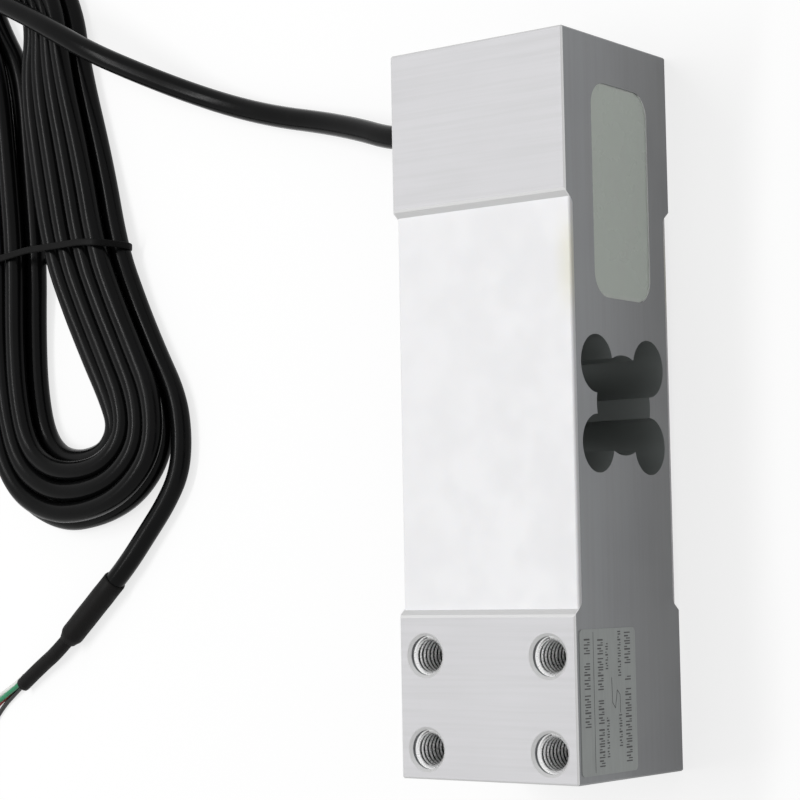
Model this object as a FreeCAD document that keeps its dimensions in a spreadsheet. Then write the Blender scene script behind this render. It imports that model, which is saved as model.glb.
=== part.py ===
import FreeCAD, Part
import math
import os
import Sketcher
from FreeCAD import Placement, Rotation, Vector

# Single point load cell: an aluminium spring body with a binocular cutout, foil strain gauges
# under silicone covers, a potted pocket with the compensation board, and a screened cable
# that is wound into a tied hank.
# The origin is the middle of the underside. +X is the cable end, -Y the pocket side, +Z up.

SIZES = {
    # Spring body
    "body_length": 150.0,
    "body_width": 43.0,
    "body_height": 40.0,
    "pad_length": 33.0,
    "shoulder_run": 2.0,
    "relief_depth": 2.6,
    "relief_fillet": 1.5,
    "edge_chamfer": 0.35,
    # Binocular cutout, bored across the body
    "central_bore": 20.4,
    "lobe_bore": 11.8,
    "lobe_spacing_x": 16.0,
    "web_thickness": 1.7,
    # M8 mounting holes: load end from above, fixed end from below
    "thread_diameter": 8.0,
    "load_hole_depth": 16.0,
    "fixed_hole_depth": 7.0,
    "hole_pitch_x": 19.0,
    "hole_side_margin": 6.5,
    "hole_end_margin": 6.0,
    "countersink_diameter": 9.2,
    "countersink_angle": 90.0,
    "drill_tip_angle": 118.0,
    # Pocket for the compensation board
    "pocket_length": 43.9,
    "pocket_height": 21.4,
    "pocket_corner": 5.0,
    "pocket_depth": 20.0,
    "pocket_end_margin": 9.5,
    "pocket_rise": 8.4,
    "potting_recess": 0.3,
    # Cable entry in the side opposite the pocket
    "cable_diameter": 5.2,
    "cable_clearance": 0.4,
    "cable_end_margin": 12.2,
    "cable_rise": 13.0,
    "cable_inside": 0.8,
    "bush_diameter": 9.0,
    "bush_depth": 10.0,
    "bush_bore": 6.8,
    "flange_diameter": 12.0,
    "flange_thickness": 1.2,
    "seal_reach": 2.8,
    "seal_collar": 8.0,
    "seal_nose": 6.4,
    # Wireways from the gauge areas to the pocket
    "wireway_diameter": 3.0,
    "wireway_inset": 8.4,
    "wireway_y": -9.0,
    # Gauge areas
    "cover_thickness": 1.0,
    "cover_edge": 0.6,
    "backing_length": 8.0,
    "backing_width": 7.6,
    "film_thickness": 0.12,
    "foil_thickness": 0.08,
    "grid_length": 4.0,
    "grid_pitch": 0.52,
    "grid_line_width": 0.26,
    "grid_lines": 7,
    "tab_length": 1.2,
    "tab_width": 1.0,
    "jumper_width": 0.3,
    "jumper_thickness": 0.2,
    "strip_to_wireway": 11.0,
    "strip_length": 5.0,
    "strip_width": 8.6,
    "strip_pad_length": 3.6,
    "strip_pad_width": 1.2,
    "strip_pad_pitch": 2.0,
    "ribbon_width": 2.0,
    "ribbon_thickness": 0.5,
    "ribbon_lap": 2.0,
    # Compensation board in the pocket
    "board_length": 34.0,
    "board_height": 16.0,
    "board_thickness": 1.6,
    "board_depth": 9.5,
    "board_end_gap": 3.0,
    "resistor_length": 4.4,
    "resistor_height": 2.2,
    "resistor_thickness": 1.1,
    "resistor_pitch": 6.4,
    "resistor_count": 4,
    "joint_diameter": 1.8,
    "joint_thickness": 0.5,
    "joint_pitch": 3.0,
    # Insulated cores of the cable
    "core_diameter": 1.2,
    "core_count": 4,
    "core_offset": 0.64,
    "tinned_diameter": 0.8,
    "tinned_length": 5.0,
    # Rating label
    "label_length": 28.6,
    "label_height": 20.6,
    "label_corner": 1.0,
    "label_thickness": 0.12,
    "label_end_margin": 1.6,
    "label_rise": 18.2,
    # Free cable: tie, shrink sleeve and end tube
    "lead_dive": 21.0,
    "hank_height": 11.5,
    "hank_rounding": 2.4,
    "tie_width": 2.6,
    "tie_thickness": 1.1,
    "tie_x": 50.0,
    "tie_low_y": 133.3,
    "tie_high_y": 184.9,
    "tie_corner": 3.0,
    "tie_head_length": 5.0,
    "tie_head_width": 4.2,
    "tie_head_height": 4.4,
    "sleeve_diameter": 6.0,
    "sleeve_end_diameter": 4.6,
    "sleeve_taper": 2.5,
    "sleeve_grip": 11.0,
    "tail_turn": 7.0,
    "tail_stub": 4.5,
    "end_tube_turn": 4.0,
    "core_straight": 3.5,
    "end_tube_diameter": 3.7,
    "end_tube_bore": 3.14,
}

# Routes of the free cable, as points of its centre line in millimetres
LEAD_ROUTE = [
    (62.8, 21.5, 13.0),
    (62.8, 33.0, 13.0),
    (64.9, 44.5, 10.8),
    (68.8, 55.5, 7.4),
    (72.6, 68.5, 4.4),
    (76.2, 83.5, 3.1),
    (80.4, 97.0, 3.2),
    (85.6, 110.0, 7.0),
    (91.6, 122.5, 13.6),
    (98.0, 135.0, 19.4),
    (105.8, 148.0, 20.8),
    (112.4, 160.0, 18.4),
]
LEAD_END = (118.4, 171.6, 14.6)
TAIL_LEAVING_HANK = [
    (11.5, 117.2, 2.6),
    (1.8, 115.8, 2.6),
    (-7.2, 117.0, 2.6),
    (-14.6, 121.2, 2.6),
]
SLEEVE_START = (-33.3, 138.6, 3.0)
SLEEVE_END = (-48.2, 155.4, 3.0)
END_TUBE_ROUTE = [
    (-55.2, 166.2, 2.3),
    (-59.8, 173.0, 1.9),
]

# Outline of the hank from above, and of the two openings between its legs
HANK_OUTLINE = [
    (-19.6, 150.2), (-16.8, 135.6), (-8.4, 124.2), (4.0, 117.2), (18.4, 119.0), (30.7, 125.2),
    (43.9, 130.9), (61.7, 136.4), (85.7, 143.2), (108.5, 149.3), (129.0, 159.4), (141.0, 176.8),
    (139.2, 193.0), (127.0, 201.0), (110.1, 200.2), (88.1, 193.6), (64.0, 187.0), (50.0, 185.0),
    (37.0, 184.9), (17.1, 183.6), (-2.4, 177.3), (-15.6, 165.6),
]
HANK_OPENING = [
    (46.0, 158.6), (35.0, 151.6), (22.0, 144.4), (11.0, 138.8), (4.0, 137.2), (0.6, 140.4),
    (-0.5, 147.8), (0.9, 155.4), (5.6, 160.6), (16.0, 163.0), (31.0, 163.6),
]
HANK_FAR_OPENING = [
    (60.0, 161.4), (71.0, 162.8), (86.0, 166.4), (98.0, 169.4), (106.0, 172.8), (107.4, 176.8),
    (102.6, 177.6), (92.0, 174.0), (76.0, 167.4),
]

# Ends of the four insulated cores, from the mouth of the end tube
CORE_ROUTES = {
    "core_green": [(-63.2, 181.8, 0.8), (-65.2, 188.2, 0.62), (-66.7, 195.2, 0.62)],
    "core_white": [(-64.9, 181.2, 1.9), (-69.2, 186.4, 0.8), (-72.9, 192.2, 0.62)],
    "core_red": [(-66.3, 179.4, 1.9), (-71.8, 183.2, 0.8), (-78.0, 187.0, 0.62)],
    "core_black": [(-67.2, 177.6, 0.8), (-73.2, 178.8, 0.62), (-80.2, 180.8, 0.62)],
}


# Column and row of each core in the cable's section and in the board's solder joints
CORE_PLACES = {"green": (0, 0), "white": (0, 1), "red": (1, 0), "black": (1, 1)}


class Dim:
    """A length that carries both its number and the sheet expression it comes from."""

    def __init__(self, value, text=None):
        self.value = float(value)
        self.text = text if text is not None else repr(float(value))

    def combine(self, other, sign, value):
        other = as_dim(other)
        return Dim(value, "(%s %s %s)" % (self.text, sign, other.text))

    def __add__(self, other):
        return self.combine(other, "+", self.value + as_dim(other).value)

    def __sub__(self, other):
        return self.combine(other, "-", self.value - as_dim(other).value)

    def __mul__(self, other):
        return self.combine(other, "*", self.value * as_dim(other).value)

    def __truediv__(self, other):
        return self.combine(other, "/", self.value / as_dim(other).value)

    def __neg__(self):
        return Dim(-self.value, "(0 - %s)" % self.text)


def as_dim(number):
    return number if isinstance(number, Dim) else Dim(number)


doc = FreeCAD.newDocument("single_point_load_cell")
sheet = doc.addObject("Spreadsheet::Sheet", "Sizes")
for row, (alias, number) in enumerate(SIZES.items(), start=1):
    sheet.set("A%d" % row, alias)
    sheet.set("B%d" % row, str(number))
    sheet.setAlias("B%d" % row, alias)
doc.recompute()


def size(alias):
    """The named size, read back from the sheet."""
    return Dim(sheet.get(alias), "Sizes.%s" % alias)


def bind(feature, path, dim):
    feature.setExpression(path, dim.text)


sub_parts = []


def keep(node, feature):
    """Names a finished piece; its label is also its file name."""
    feature.Label = node
    sub_parts.append(feature)
    return feature


# ---------------------------------------------------------------- sketch and feature helpers

def new_body(name):
    body = doc.addObject("PartDesign::Body", name + "_body")
    body.AllowCompound = True
    return body


def new_sketch(body, name, role, offset=0):
    """A sketch on one of the body's origin planes, moved along that plane's normal."""
    plane = next(part for part in body.Origin.OriginFeatures if part.Role == role)
    sketch = body.newObject("Sketcher::SketchObject", name)
    sketch.AttachmentSupport = (plane, [""])
    sketch.MapMode = "FlatFace"
    offset = as_dim(offset)
    sketch.AttachmentOffset = Placement(Vector(0, 0, offset.value), Rotation())
    bind(sketch, ".AttachmentOffset.Base.z", offset)
    return sketch


def constrain(sketch, name, kind, *arguments):
    """Adds a named dimension and binds it to the sheet; the last argument is its length."""
    dim = as_dim(arguments[-1])
    numbers = list(arguments[:-1]) + [dim.value]
    index = sketch.addConstraint(Sketcher.Constraint(kind, *numbers))
    sketch.renameConstraint(index, name)
    bind(sketch, "Constraints.%s" % name, dim)


def pin(sketch, name, geometry, point, x, y):
    constrain(sketch, name + "_x", "DistanceX", geometry, point, x)
    constrain(sketch, name + "_y", "DistanceY", geometry, point, y)


def add_circle(sketch, x, y, diameter):
    x, y, radius = as_dim(x), as_dim(y), as_dim(diameter) / 2
    circle = Part.Circle(Vector(x.value, y.value, 0), Vector(0, 0, 1), radius.value)
    index = sketch.addGeometry(circle)
    pin(sketch, "centre_%d" % index, index, 3, x, y)
    constrain(sketch, "radius_%d" % index, "Radius", index, radius)


def add_polygon(sketch, corners):
    """A closed outline of straight lines through the corners."""
    corners = [(as_dim(x), as_dim(y)) for x, y in corners]
    first = sketch.GeometryCount
    count = len(corners)
    for step in range(count):
        start, end = corners[step], corners[(step + 1) % count]
        start_point = Vector(start[0].value, start[1].value, 0)
        end_point = Vector(end[0].value, end[1].value, 0)
        sketch.addGeometry(Part.LineSegment(start_point, end_point))
    for step in range(count):
        following = first + (step + 1) % count
        sketch.addConstraint(Sketcher.Constraint("Coincident", first + step, 2, following, 1))
    for step, (x, y) in enumerate(corners):
        pin(sketch, "corner_%d" % (first + step), first + step, 1, x, y)


def add_rectangle(sketch, low_x, low_y, high_x, high_y):
    add_polygon(sketch, [(low_x, low_y), (high_x, low_y), (high_x, high_y), (low_x, high_y)])


def add_rounded_rectangle(sketch, low_x, low_y, high_x, high_y, radius):
    """Four lines and four tangent arcs, dimensioned by their sides and radius."""
    low_x, low_y, high_x, high_y = as_dim(low_x), as_dim(low_y), as_dim(high_x), as_dim(high_y)
    r = as_dim(radius).value
    left, bottom, right, top = low_x.value, low_y.value, high_x.value, high_y.value
    sides = [
        (Vector(left + r, bottom), Vector(right - r, bottom)),
        (Vector(right, bottom + r), Vector(right, top - r)),
        (Vector(right - r, top), Vector(left + r, top)),
        (Vector(left, top - r), Vector(left, bottom + r)),
    ]
    centres = [(right - r, bottom + r), (right - r, top - r), (left + r, top - r),
               (left + r, bottom + r)]
    first = sketch.GeometryCount
    for quarter, (start, end) in enumerate(sides):
        sketch.addGeometry(Part.LineSegment(start, end))
        centre = Vector(centres[quarter][0], centres[quarter][1])
        arc = Part.Circle(centre, Vector(0, 0, 1), r)
        begin = (quarter - 1) * math.pi / 2
        sketch.addGeometry(Part.ArcOfCircle(arc, begin, begin + math.pi / 2))
    for quarter in range(4):
        line, arc = first + 2 * quarter, first + 2 * quarter + 1
        following = first + (2 * quarter + 2) % 8
        sketch.addConstraint(Sketcher.Constraint("Tangent", line, 2, arc, 1))
        sketch.addConstraint(Sketcher.Constraint("Tangent", arc, 2, following, 1))
        direction = "Horizontal" if quarter % 2 == 0 else "Vertical"
        sketch.addConstraint(Sketcher.Constraint(direction, line))
        if quarter:
            sketch.addConstraint(Sketcher.Constraint("Equal", first + 1, arc))
    constrain(sketch, "corner_radius", "Radius", first + 1, radius)
    constrain(sketch, "low_y", "DistanceY", first, 1, low_y)
    constrain(sketch, "high_x", "DistanceX", first + 2, 1, high_x)
    constrain(sketch, "high_y", "DistanceY", first + 4, 1, high_y)
    constrain(sketch, "low_x", "DistanceX", first + 6, 1, low_x)


def extrude(body, kind, sketch, length, symmetric=False, backwards=False):
    """Pads or pockets a sketch. A pocket that removes nothing is an error."""
    doc.recompute()
    before = 0.0 if body.Shape.isNull() else body.Shape.Volume
    feature = body.newObject("PartDesign::" + kind, sketch.Name + "_" + kind.lower())
    feature.Profile = sketch
    feature.SideType = "Symmetric" if symmetric else "One side"
    feature.Reversed = backwards
    if length is None:
        feature.Type = "ThroughAll"
    else:
        feature.Length = as_dim(length).value
        bind(feature, "Length", as_dim(length))
    doc.recompute()
    if kind == "Pocket" and body.Shape.Volume >= before:
        raise RuntimeError("%s removes nothing" % feature.Name)
    return feature


def revolve(body, sketch, axis):
    feature = body.newObject("PartDesign::Revolution", sketch.Name + "_revolution")
    feature.Profile = sketch
    feature.ReferenceAxis = (sketch, [axis])
    feature.Angle = 360.0
    doc.recompute()
    return feature


def dress(body, kind, prop, amount, chosen):
    """Chamfers or fillets the edges of the body's last feature that the test picks out."""
    base = body.Tip
    names = []
    for index, edge in enumerate(base.Shape.Edges, start=1):
        if chosen(edge):
            names.append("Edge%d" % index)
    if not names:
        raise RuntimeError("no edges for the %s of %s" % (kind, body.Name))
    feature = body.newObject("PartDesign::" + kind, "%s_%s" % (body.Name, kind.lower()))
    feature.Base = (base, names)
    setattr(feature, prop, as_dim(amount).value)
    bind(feature, prop, as_dim(amount))
    doc.recompute()
    if "Up-to-date" not in feature.State:
        raise RuntimeError("%s failed" % feature.Name)
    return feature


def near(first, second, tolerance=1e-4):
    return abs(first - second) < tolerance


def all_points(edge, test):
    return all(test(vertex.Point) for vertex in edge.Vertexes)


def is_straight(edge):
    return isinstance(edge.Curve, Part.Line)


def cut_away(node, base, tools):
    """The base less the space that the tools fill, as one boolean feature."""
    compound = doc.addObject("Part::Compound", node + "_hollows")
    compound.Links = tools
    cut = doc.addObject("Part::Cut", node + "_cut")
    cut.Base = base
    cut.Tool = compound
    doc.recompute()
    return keep(node, cut)


# ---------------------------------------------------------------- cable helpers

def unit(start, end):
    return (end - start).normalize()


def routed_wire(points):
    """Straight runs joined by tangent arcs, each as large as its two runs allow."""
    points = [Vector(*point) for point in points]
    edges = []
    here = points[0]
    radii = []
    for before, corner, after in zip(points, points[1:], points[2:]):
        towards, away = unit(before, corner), unit(corner, after)
        turn = towards.getAngle(away)
        shorter = min(before.distanceToPoint(corner), corner.distanceToPoint(after))
        setback = 0.45 * shorter
        radii.append(setback / math.tan(turn / 2))
        arc_start = corner - towards * setback
        arc_end = corner + away * setback
        bisector = (away - towards).normalize()
        middle = corner + bisector * radii[-1] * (1 / math.cos(turn / 2) - 1)
        edges.append(Part.LineSegment(here, arc_start).toShape())
        edges.append(Part.Arc(arc_start, middle, arc_end).toShape())
        here = arc_end
    edges.append(Part.LineSegment(here, points[-1]).toShape())
    return Part.Wire(edges), radii


def tube(name, points, diameter):
    """A round tube swept along a route, its profile at the first point."""
    wire, radii = routed_wire(points)
    path = doc.addObject("Part::Feature", name + "_path")
    path.Shape = wire
    start, second = Vector(*points[0]), Vector(*points[1])
    profile = doc.addObject("Part::Circle", name + "_profile")
    bind(profile, "Radius", as_dim(diameter) / 2)
    profile.Placement = Placement(start, Rotation(Vector(0, 0, 1), second - start))
    sweep = doc.addObject("Part::Sweep", name + "_sweep")
    sweep.Sections = [profile]
    sweep.Spine = (path, ["Edge%d" % (index + 1) for index in range(len(wire.Edges))])
    sweep.Solid = True
    sweep.Frenet = False
    doc.recompute()
    section = math.pi * as_dim(diameter).value ** 2 / 4
    drift = sweep.Shape.Volume / (section * wire.Length)
    print("%-14s length %7.1f  volume ratio %.4f  radii %s"
          % (name, wire.Length, drift, " ".join("%.0f" % radius for radius in radii)))
    if abs(drift - 1) > 0.01:
        raise RuntimeError("%s is not a clean tube" % name)
    return sweep


def stub(name, start, end, diameter):
    """A straight round rod between two points."""
    start, end = Vector(*start), Vector(*end)
    rod = doc.addObject("Part::Cylinder", name)
    rod.Height = start.distanceToPoint(end)
    bind(rod, "Radius", as_dim(diameter) / 2)
    rod.Placement = Placement(start, Rotation(Vector(0, 0, 1), end - start))
    return rod


# ---------------------------------------------------------------- values that several pieces share

half_length = size("body_length") / 2
half_width = size("body_width") / 2
body_height = size("body_height")
pad_edge = half_length - size("pad_length")
relief_edge = pad_edge - size("shoulder_run")
relief_depth = size("relief_depth")
relief_floors = {"top": body_height - relief_depth, "bottom": relief_depth}
mid_height = body_height / 2
lobe_offset_x = size("lobe_spacing_x") / 2
lobe_offset_z = mid_height - relief_depth - size("web_thickness") - size("lobe_bore") / 2
first_hole_row = half_length - size("hole_end_margin")
second_hole_row = first_hole_row - size("hole_pitch_x")
half_pitch_y = half_width - size("hole_side_margin")
pocket_high_x = half_length - size("pocket_end_margin")
pocket_low_x = pocket_high_x - size("pocket_length")
pocket_low_z = size("pocket_rise")
pocket_high_z = pocket_low_z + size("pocket_height")
pocket_floor_y = size("pocket_depth") - half_width
wireway_x = pocket_low_x + size("wireway_inset")
strip_x = wireway_x - size("strip_to_wireway")
cable_x = half_length - size("cable_end_margin")
cable_z = size("cable_rise")
cable_diameter = size("cable_diameter")
cable_end_y = pocket_floor_y - size("cable_inside")
seal_end_y = half_width + size("flange_thickness") + size("seal_reach")
film = size("film_thickness")
foil = size("foil_thickness")
foil_stack = film + foil


# ---------------------------------------------------------------- spring body
# One block of aluminium alloy. Both loading faces are milled down between their end pads, and
# five bores across the body leave the four thin webs that the gauges measure.

def spring_body():
    body = new_body("spring")
    side = new_sketch(body, "side_profile", "XZ_Plane")
    top, bottom = relief_floors["top"], relief_floors["bottom"]
    right_half = [(relief_edge, bottom), (pad_edge, 0), (half_length, 0),
                  (half_length, body_height), (pad_edge, body_height), (relief_edge, top)]
    left_half = [(-x, z) for x, z in reversed(right_half)]
    add_polygon(side, right_half + left_half)
    extrude(body, "Pad", side, half_width * 2, symmetric=True)

    def is_relief_corner(edge):
        across = near(edge.BoundBox.XLength, 0)
        return across and all_points(edge, lambda p: near(abs(p.x), relief_edge.value))

    dress(body, "Fillet", "Radius", size("relief_fillet"), is_relief_corner)

    cutout = new_sketch(body, "binocular_cutout", "XZ_Plane")
    add_circle(cutout, 0, mid_height, size("central_bore"))
    extrude(body, "Pocket", cutout, None, symmetric=True)
    lobes = new_sketch(body, "cutout_lobes", "XZ_Plane")
    for x_side in (-1, 1):
        for z_side in (-1, 1):
            add_circle(lobes, lobe_offset_x * x_side, mid_height + lobe_offset_z * z_side,
                       size("lobe_bore"))
    extrude(body, "Pocket", lobes, None, symmetric=True)

    pocket = new_sketch(body, "board_pocket", "XZ_Plane", half_width)
    add_rounded_rectangle(pocket, pocket_low_x, pocket_low_z, pocket_high_x, pocket_high_z,
                          size("pocket_corner"))
    extrude(body, "Pocket", pocket, size("pocket_depth"))

    entry = new_sketch(body, "cable_bore", "XZ_Plane", -half_width)
    add_circle(entry, cable_x, cable_z, cable_diameter + size("cable_clearance"))
    extrude(body, "Pocket", entry, half_width - cable_end_y, backwards=True)
    counterbore = new_sketch(body, "bush_bore", "XZ_Plane", -half_width)
    add_circle(counterbore, cable_x, cable_z, size("bush_diameter"))
    extrude(body, "Pocket", counterbore, size("bush_depth"), backwards=True)

    upper_wireway = new_sketch(body, "upper_wireway", "XY_Plane", relief_floors["top"])
    add_circle(upper_wireway, wireway_x, size("wireway_y"), size("wireway_diameter"))
    extrude(body, "Pocket", upper_wireway, relief_floors["top"] - mid_height)
    lower_wireway = new_sketch(body, "lower_wireway", "XY_Plane", relief_floors["bottom"])
    add_circle(lower_wireway, wireway_x, size("wireway_y"), size("wireway_diameter"))
    extrude(body, "Pocket", lower_wireway, mid_height - relief_floors["bottom"], backwards=True)

    tapped_holes(body, "load_holes", -1, body_height, size("load_hole_depth"), "Angled", False)
    tapped_holes(body, "fixed_holes", 1, as_dim(0), size("fixed_hole_depth"), "Flat", True)

    def is_outer_edge(edge):
        on_end = all_points(edge, lambda p: near(abs(p.x), half_length.value))
        on_side = all_points(edge, lambda p: near(abs(p.y), half_width.value))
        on_face = all_points(edge, lambda p: near(p.z, 0) or near(p.z, body_height.value))
        return is_straight(edge) and (on_end or (on_side and on_face))

    dress(body, "Chamfer", "Size", size("edge_chamfer"), is_outer_edge)
    return keep("spring_body", body)


def tapped_holes(body, name, end, level, depth, drill_point, from_below):
    """Four countersunk M8 holes in one end pad."""
    sketch = new_sketch(body, name, "XY_Plane", level)
    for row in (first_hole_row, second_hole_row):
        for y_side in (-1, 1):
            add_circle(sketch, row * end, half_pitch_y * y_side, size("thread_diameter"))
    doc.recompute()
    before = body.Shape.Volume
    hole = body.newObject("PartDesign::Hole", name + "_tapping")
    hole.Profile = sketch
    hole.ThreadType = "None"
    hole.DepthType = "Dimension"
    hole.DrillPoint = drill_point
    hole.Reversed = from_below
    bind(hole, "Diameter", size("thread_diameter"))
    bind(hole, "Depth", depth)
    if drill_point == "Angled":
        bind(hole, "DrillPointAngle", size("drill_tip_angle"))
    hole.HoleCutType = "Countersink"
    bind(hole, "HoleCutDiameter", size("countersink_diameter"))
    bind(hole, "HoleCutCountersinkAngle", size("countersink_angle"))
    doc.recompute()
    if body.Shape.Volume >= before:
        raise RuntimeError("%s removes nothing" % name)


# ---------------------------------------------------------------- strain gauges
# Each gauge is an etched foil grid on a film backing, bonded over the thinnest place of a web.
# Grids, terminals and jumpers lie on the floor of the relief, facing away from the body.

def facing(side, x, y):
    """Places a flat piece that is drawn upwards on the top or the bottom relief floor."""
    turn = Rotation() if side == "top" else Rotation(Vector(0, 1, 0), 180)
    return Placement(Vector(x.value, y.value, relief_floors[side].value), turn)


def place_on_floor(feature, side, x=0, y=0):
    x, y = as_dim(x), as_dim(y)
    feature.Placement = facing(side, x, y)
    bind(feature, ".Placement.Base.x", x)
    bind(feature, ".Placement.Base.y", y)
    bind(feature, ".Placement.Base.z", relief_floors[side])


def flat_conductor(path, width):
    """The face that a conductor of this width covers along a path of corners."""
    wire = Part.makePolygon([Vector(x, y, 0) for x, y in path])
    return wire.makeOffset2D(width / 2, 2, True, False)


def grid_path():
    """Centre line of the grid: parallel lines joined at alternate ends, then the return line."""
    lines = int(SIZES["grid_lines"])
    pitch, half = SIZES["grid_pitch"], SIZES["grid_length"] / 2
    lowest = -pitch * (lines - 1) / 2
    path = []
    for line in range(lines):
        y = lowest + line * pitch
        ends = [(-half, y), (half, y)]
        path += ends if line % 2 == 0 else ends[::-1]
    return_x = half + 2 * pitch
    path.append((return_x, path[-1][1]))
    path.append((return_x, tab_y()))
    path.insert(0, (-half, tab_y()))
    return path


def tab_y():
    lines = int(SIZES["grid_lines"])
    return -SIZES["grid_pitch"] * (lines - 1) / 2 - 2 * SIZES["grid_pitch"]


def tab_places():
    path = grid_path()
    return [path[0], path[-1]]


def gauge_grid(node, side, x):
    grid = flat_conductor(grid_path(), SIZES["grid_line_width"])
    shape = grid.extrude(Vector(0, 0, foil.value))
    length, width = SIZES["tab_length"], SIZES["tab_width"]
    for tab_x, tab_middle in tab_places():
        corner = Vector(tab_x - length / 2, tab_middle - width / 2, 0)
        shape = shape.fuse(Part.makeBox(length, width, foil.value, corner))
    feature = doc.addObject("Part::Feature", node)
    feature.Shape = shape.removeSplitter()
    feature.Placement = facing(side, x, as_dim(0)).multiply(
        Placement(Vector(0, 0, film.value), Rotation()))
    return keep(node, feature)


def gauge_backing(node, side, x):
    body = new_body(node)
    outline = new_sketch(body, node + "_outline", "XY_Plane")
    half_x, half_y = size("backing_length") / 2, size("backing_width") / 2
    add_rectangle(outline, -half_x, -half_y, half_x, half_y)
    extrude(body, "Pad", outline, film)
    place_on_floor(body, side, x)
    return keep(node, body)


def terminal_strip(node, side):
    body = new_body(node)
    outline = new_sketch(body, node + "_outline", "XY_Plane")
    half_x, half_y = size("strip_length") / 2, size("strip_width") / 2
    add_rectangle(outline, -half_x, -half_y, half_x, half_y)
    extrude(body, "Pad", outline, film)
    place_on_floor(body, side, strip_x, size("wireway_y"))
    return keep(node, body)


def strip_pad_offset(index):
    return size("strip_pad_pitch") * (index - 1.5)


def terminal_pads(node, side):
    body = new_body(node)
    outline = new_sketch(body, node + "_outline", "XY_Plane", film)
    half_x, half_y = size("strip_pad_length") / 2, size("strip_pad_width") / 2
    for index in range(4):
        middle = strip_pad_offset(index)
        add_rectangle(outline, -half_x, middle - half_y, half_x, middle + half_y)
    extrude(body, "Pad", outline, foil)
    place_on_floor(body, side, strip_x, size("wireway_y"))
    return keep(node, body)


def gauge_jumpers(node, side):
    """Four flat wires from the gauge tabs, each down to its own lane and along to its pad."""
    turned = 1 if side == "top" else -1
    gauge_x = lobe_offset_x.value * turned
    pad_x = (strip_x.value - SIZES["strip_length"] / 4) * turned
    starts = []
    for x in (-gauge_x, gauge_x):
        for tab_x, tab_middle in tab_places()[::turned]:
            starts.append((x + tab_x, tab_middle))
    shapes = []
    for index, (start_x, start_y) in enumerate(starts):
        lane = SIZES["wireway_y"] + strip_pad_offset(index).value
        path = [(start_x, start_y), (start_x, lane), (pad_x, lane)]
        face = flat_conductor(path, SIZES["jumper_width"])
        shapes.append(face.extrude(Vector(0, 0, SIZES["jumper_thickness"])))
    feature = doc.addObject("Part::Feature", node)
    feature.Shape = Part.makeCompound(shapes)
    feature.Placement = facing(side, as_dim(0), as_dim(0)).multiply(
        Placement(Vector(0, 0, foil_stack.value), Rotation()))
    return keep(node, feature)


def gauge_ribbon(node, side):
    """Flat ribbon lead from the terminal strip, through the wireway, to the board's back."""
    body = new_body(node)
    upwards = 1 if side == "top" else -1
    thickness, half = size("ribbon_thickness"), size("ribbon_thickness") / 2
    floor = relief_floors[side]
    lap_x = strip_x + size("strip_length") / 2 - size("ribbon_lap")
    under = floor + foil_stack * upwards
    over = under + thickness * upwards
    turn_x = wireway_x
    tip_z = mid_height + size("board_height") / 4 * upwards
    side_view = new_sketch(body, node + "_run", "XZ_Plane", -size("wireway_y"))
    add_polygon(side_view, [(lap_x, under), (turn_x - half, under), (turn_x - half, tip_z),
                            (turn_x + half, tip_z), (turn_x + half, over), (lap_x, over)])
    extrude(body, "Pad", side_view, size("ribbon_width"), symmetric=True)
    foot = new_sketch(body, node + "_foot", "XZ_Plane", -board_back_y)
    foot_z = tip_z + size("ribbon_width") / 2 * upwards
    low_z, high_z = (tip_z, foot_z) if side == "top" else (foot_z, tip_z)
    add_rectangle(foot, turn_x - half, low_z, turn_x + half, high_z)
    extrude(body, "Pad", foot, size("wireway_y") - board_back_y, backwards=True)
    return keep(node, body)


# ---------------------------------------------------------------- compensation board

board_back_y = size("board_depth") - half_width + size("board_thickness")
board_front_y = board_back_y - size("board_thickness")
board_high_x = pocket_high_x - size("board_end_gap")
board_low_x = board_high_x - size("board_length")
board_middle_x = board_high_x - size("board_length") / 2
board_middle_z = pocket_low_z + size("pocket_height") / 2


def compensation_board():
    body = new_body("board")
    outline = new_sketch(body, "board_outline", "XZ_Plane", -board_back_y)
    half_z = size("board_height") / 2
    add_rectangle(outline, board_low_x, board_middle_z - half_z,
                  board_high_x, board_middle_z + half_z)
    extrude(body, "Pad", outline, size("board_thickness"))
    return keep("compensation_board", body)


def trim_resistors():
    body = new_body("resistors")
    outline = new_sketch(body, "resistor_outlines", "XZ_Plane", -board_front_y)
    half_x, half_z = size("resistor_length") / 2, size("resistor_height") / 2
    count = int(SIZES["resistor_count"])
    for index in range(count):
        x = board_middle_x + size("resistor_pitch") * (index - (count - 1) / 2)
        add_rectangle(outline, x - half_x, board_middle_z - half_z,
                      x + half_x, board_middle_z + half_z)
    extrude(body, "Pad", outline, size("resistor_thickness"))
    return keep("trim_resistors", body)


def joint_place(column, row):
    """Centre of a solder joint: two columns and two rows in the board's corner by the cable."""
    margin = size("joint_diameter") * 0.8
    x = board_high_x - margin - size("joint_pitch") * (1 - column)
    z = board_middle_z - size("board_height") / 2 + margin + size("joint_pitch") * row
    return x, z


def solder_joints():
    body = new_body("joints")
    outline = new_sketch(body, "joint_outlines", "XZ_Plane", -board_back_y)
    for column, row in CORE_PLACES.values():
        x, z = joint_place(column, row)
        add_circle(outline, x, z, size("joint_diameter"))
    extrude(body, "Pad", outline, size("joint_thickness"), backwards=True)
    return keep("solder_joints", body)


# ---------------------------------------------------------------- cable entry

def about_cable_axis(body):
    """Stands a piece that is turned about Z on the cable's axis, pointing away from the body."""
    body.Placement = Placement(Vector(cable_x.value, 0, cable_z.value),
                               Rotation(Vector(1, 0, 0), -90))
    bind(body, ".Placement.Base.x", cable_x)
    bind(body, ".Placement.Base.z", cable_z)


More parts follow.
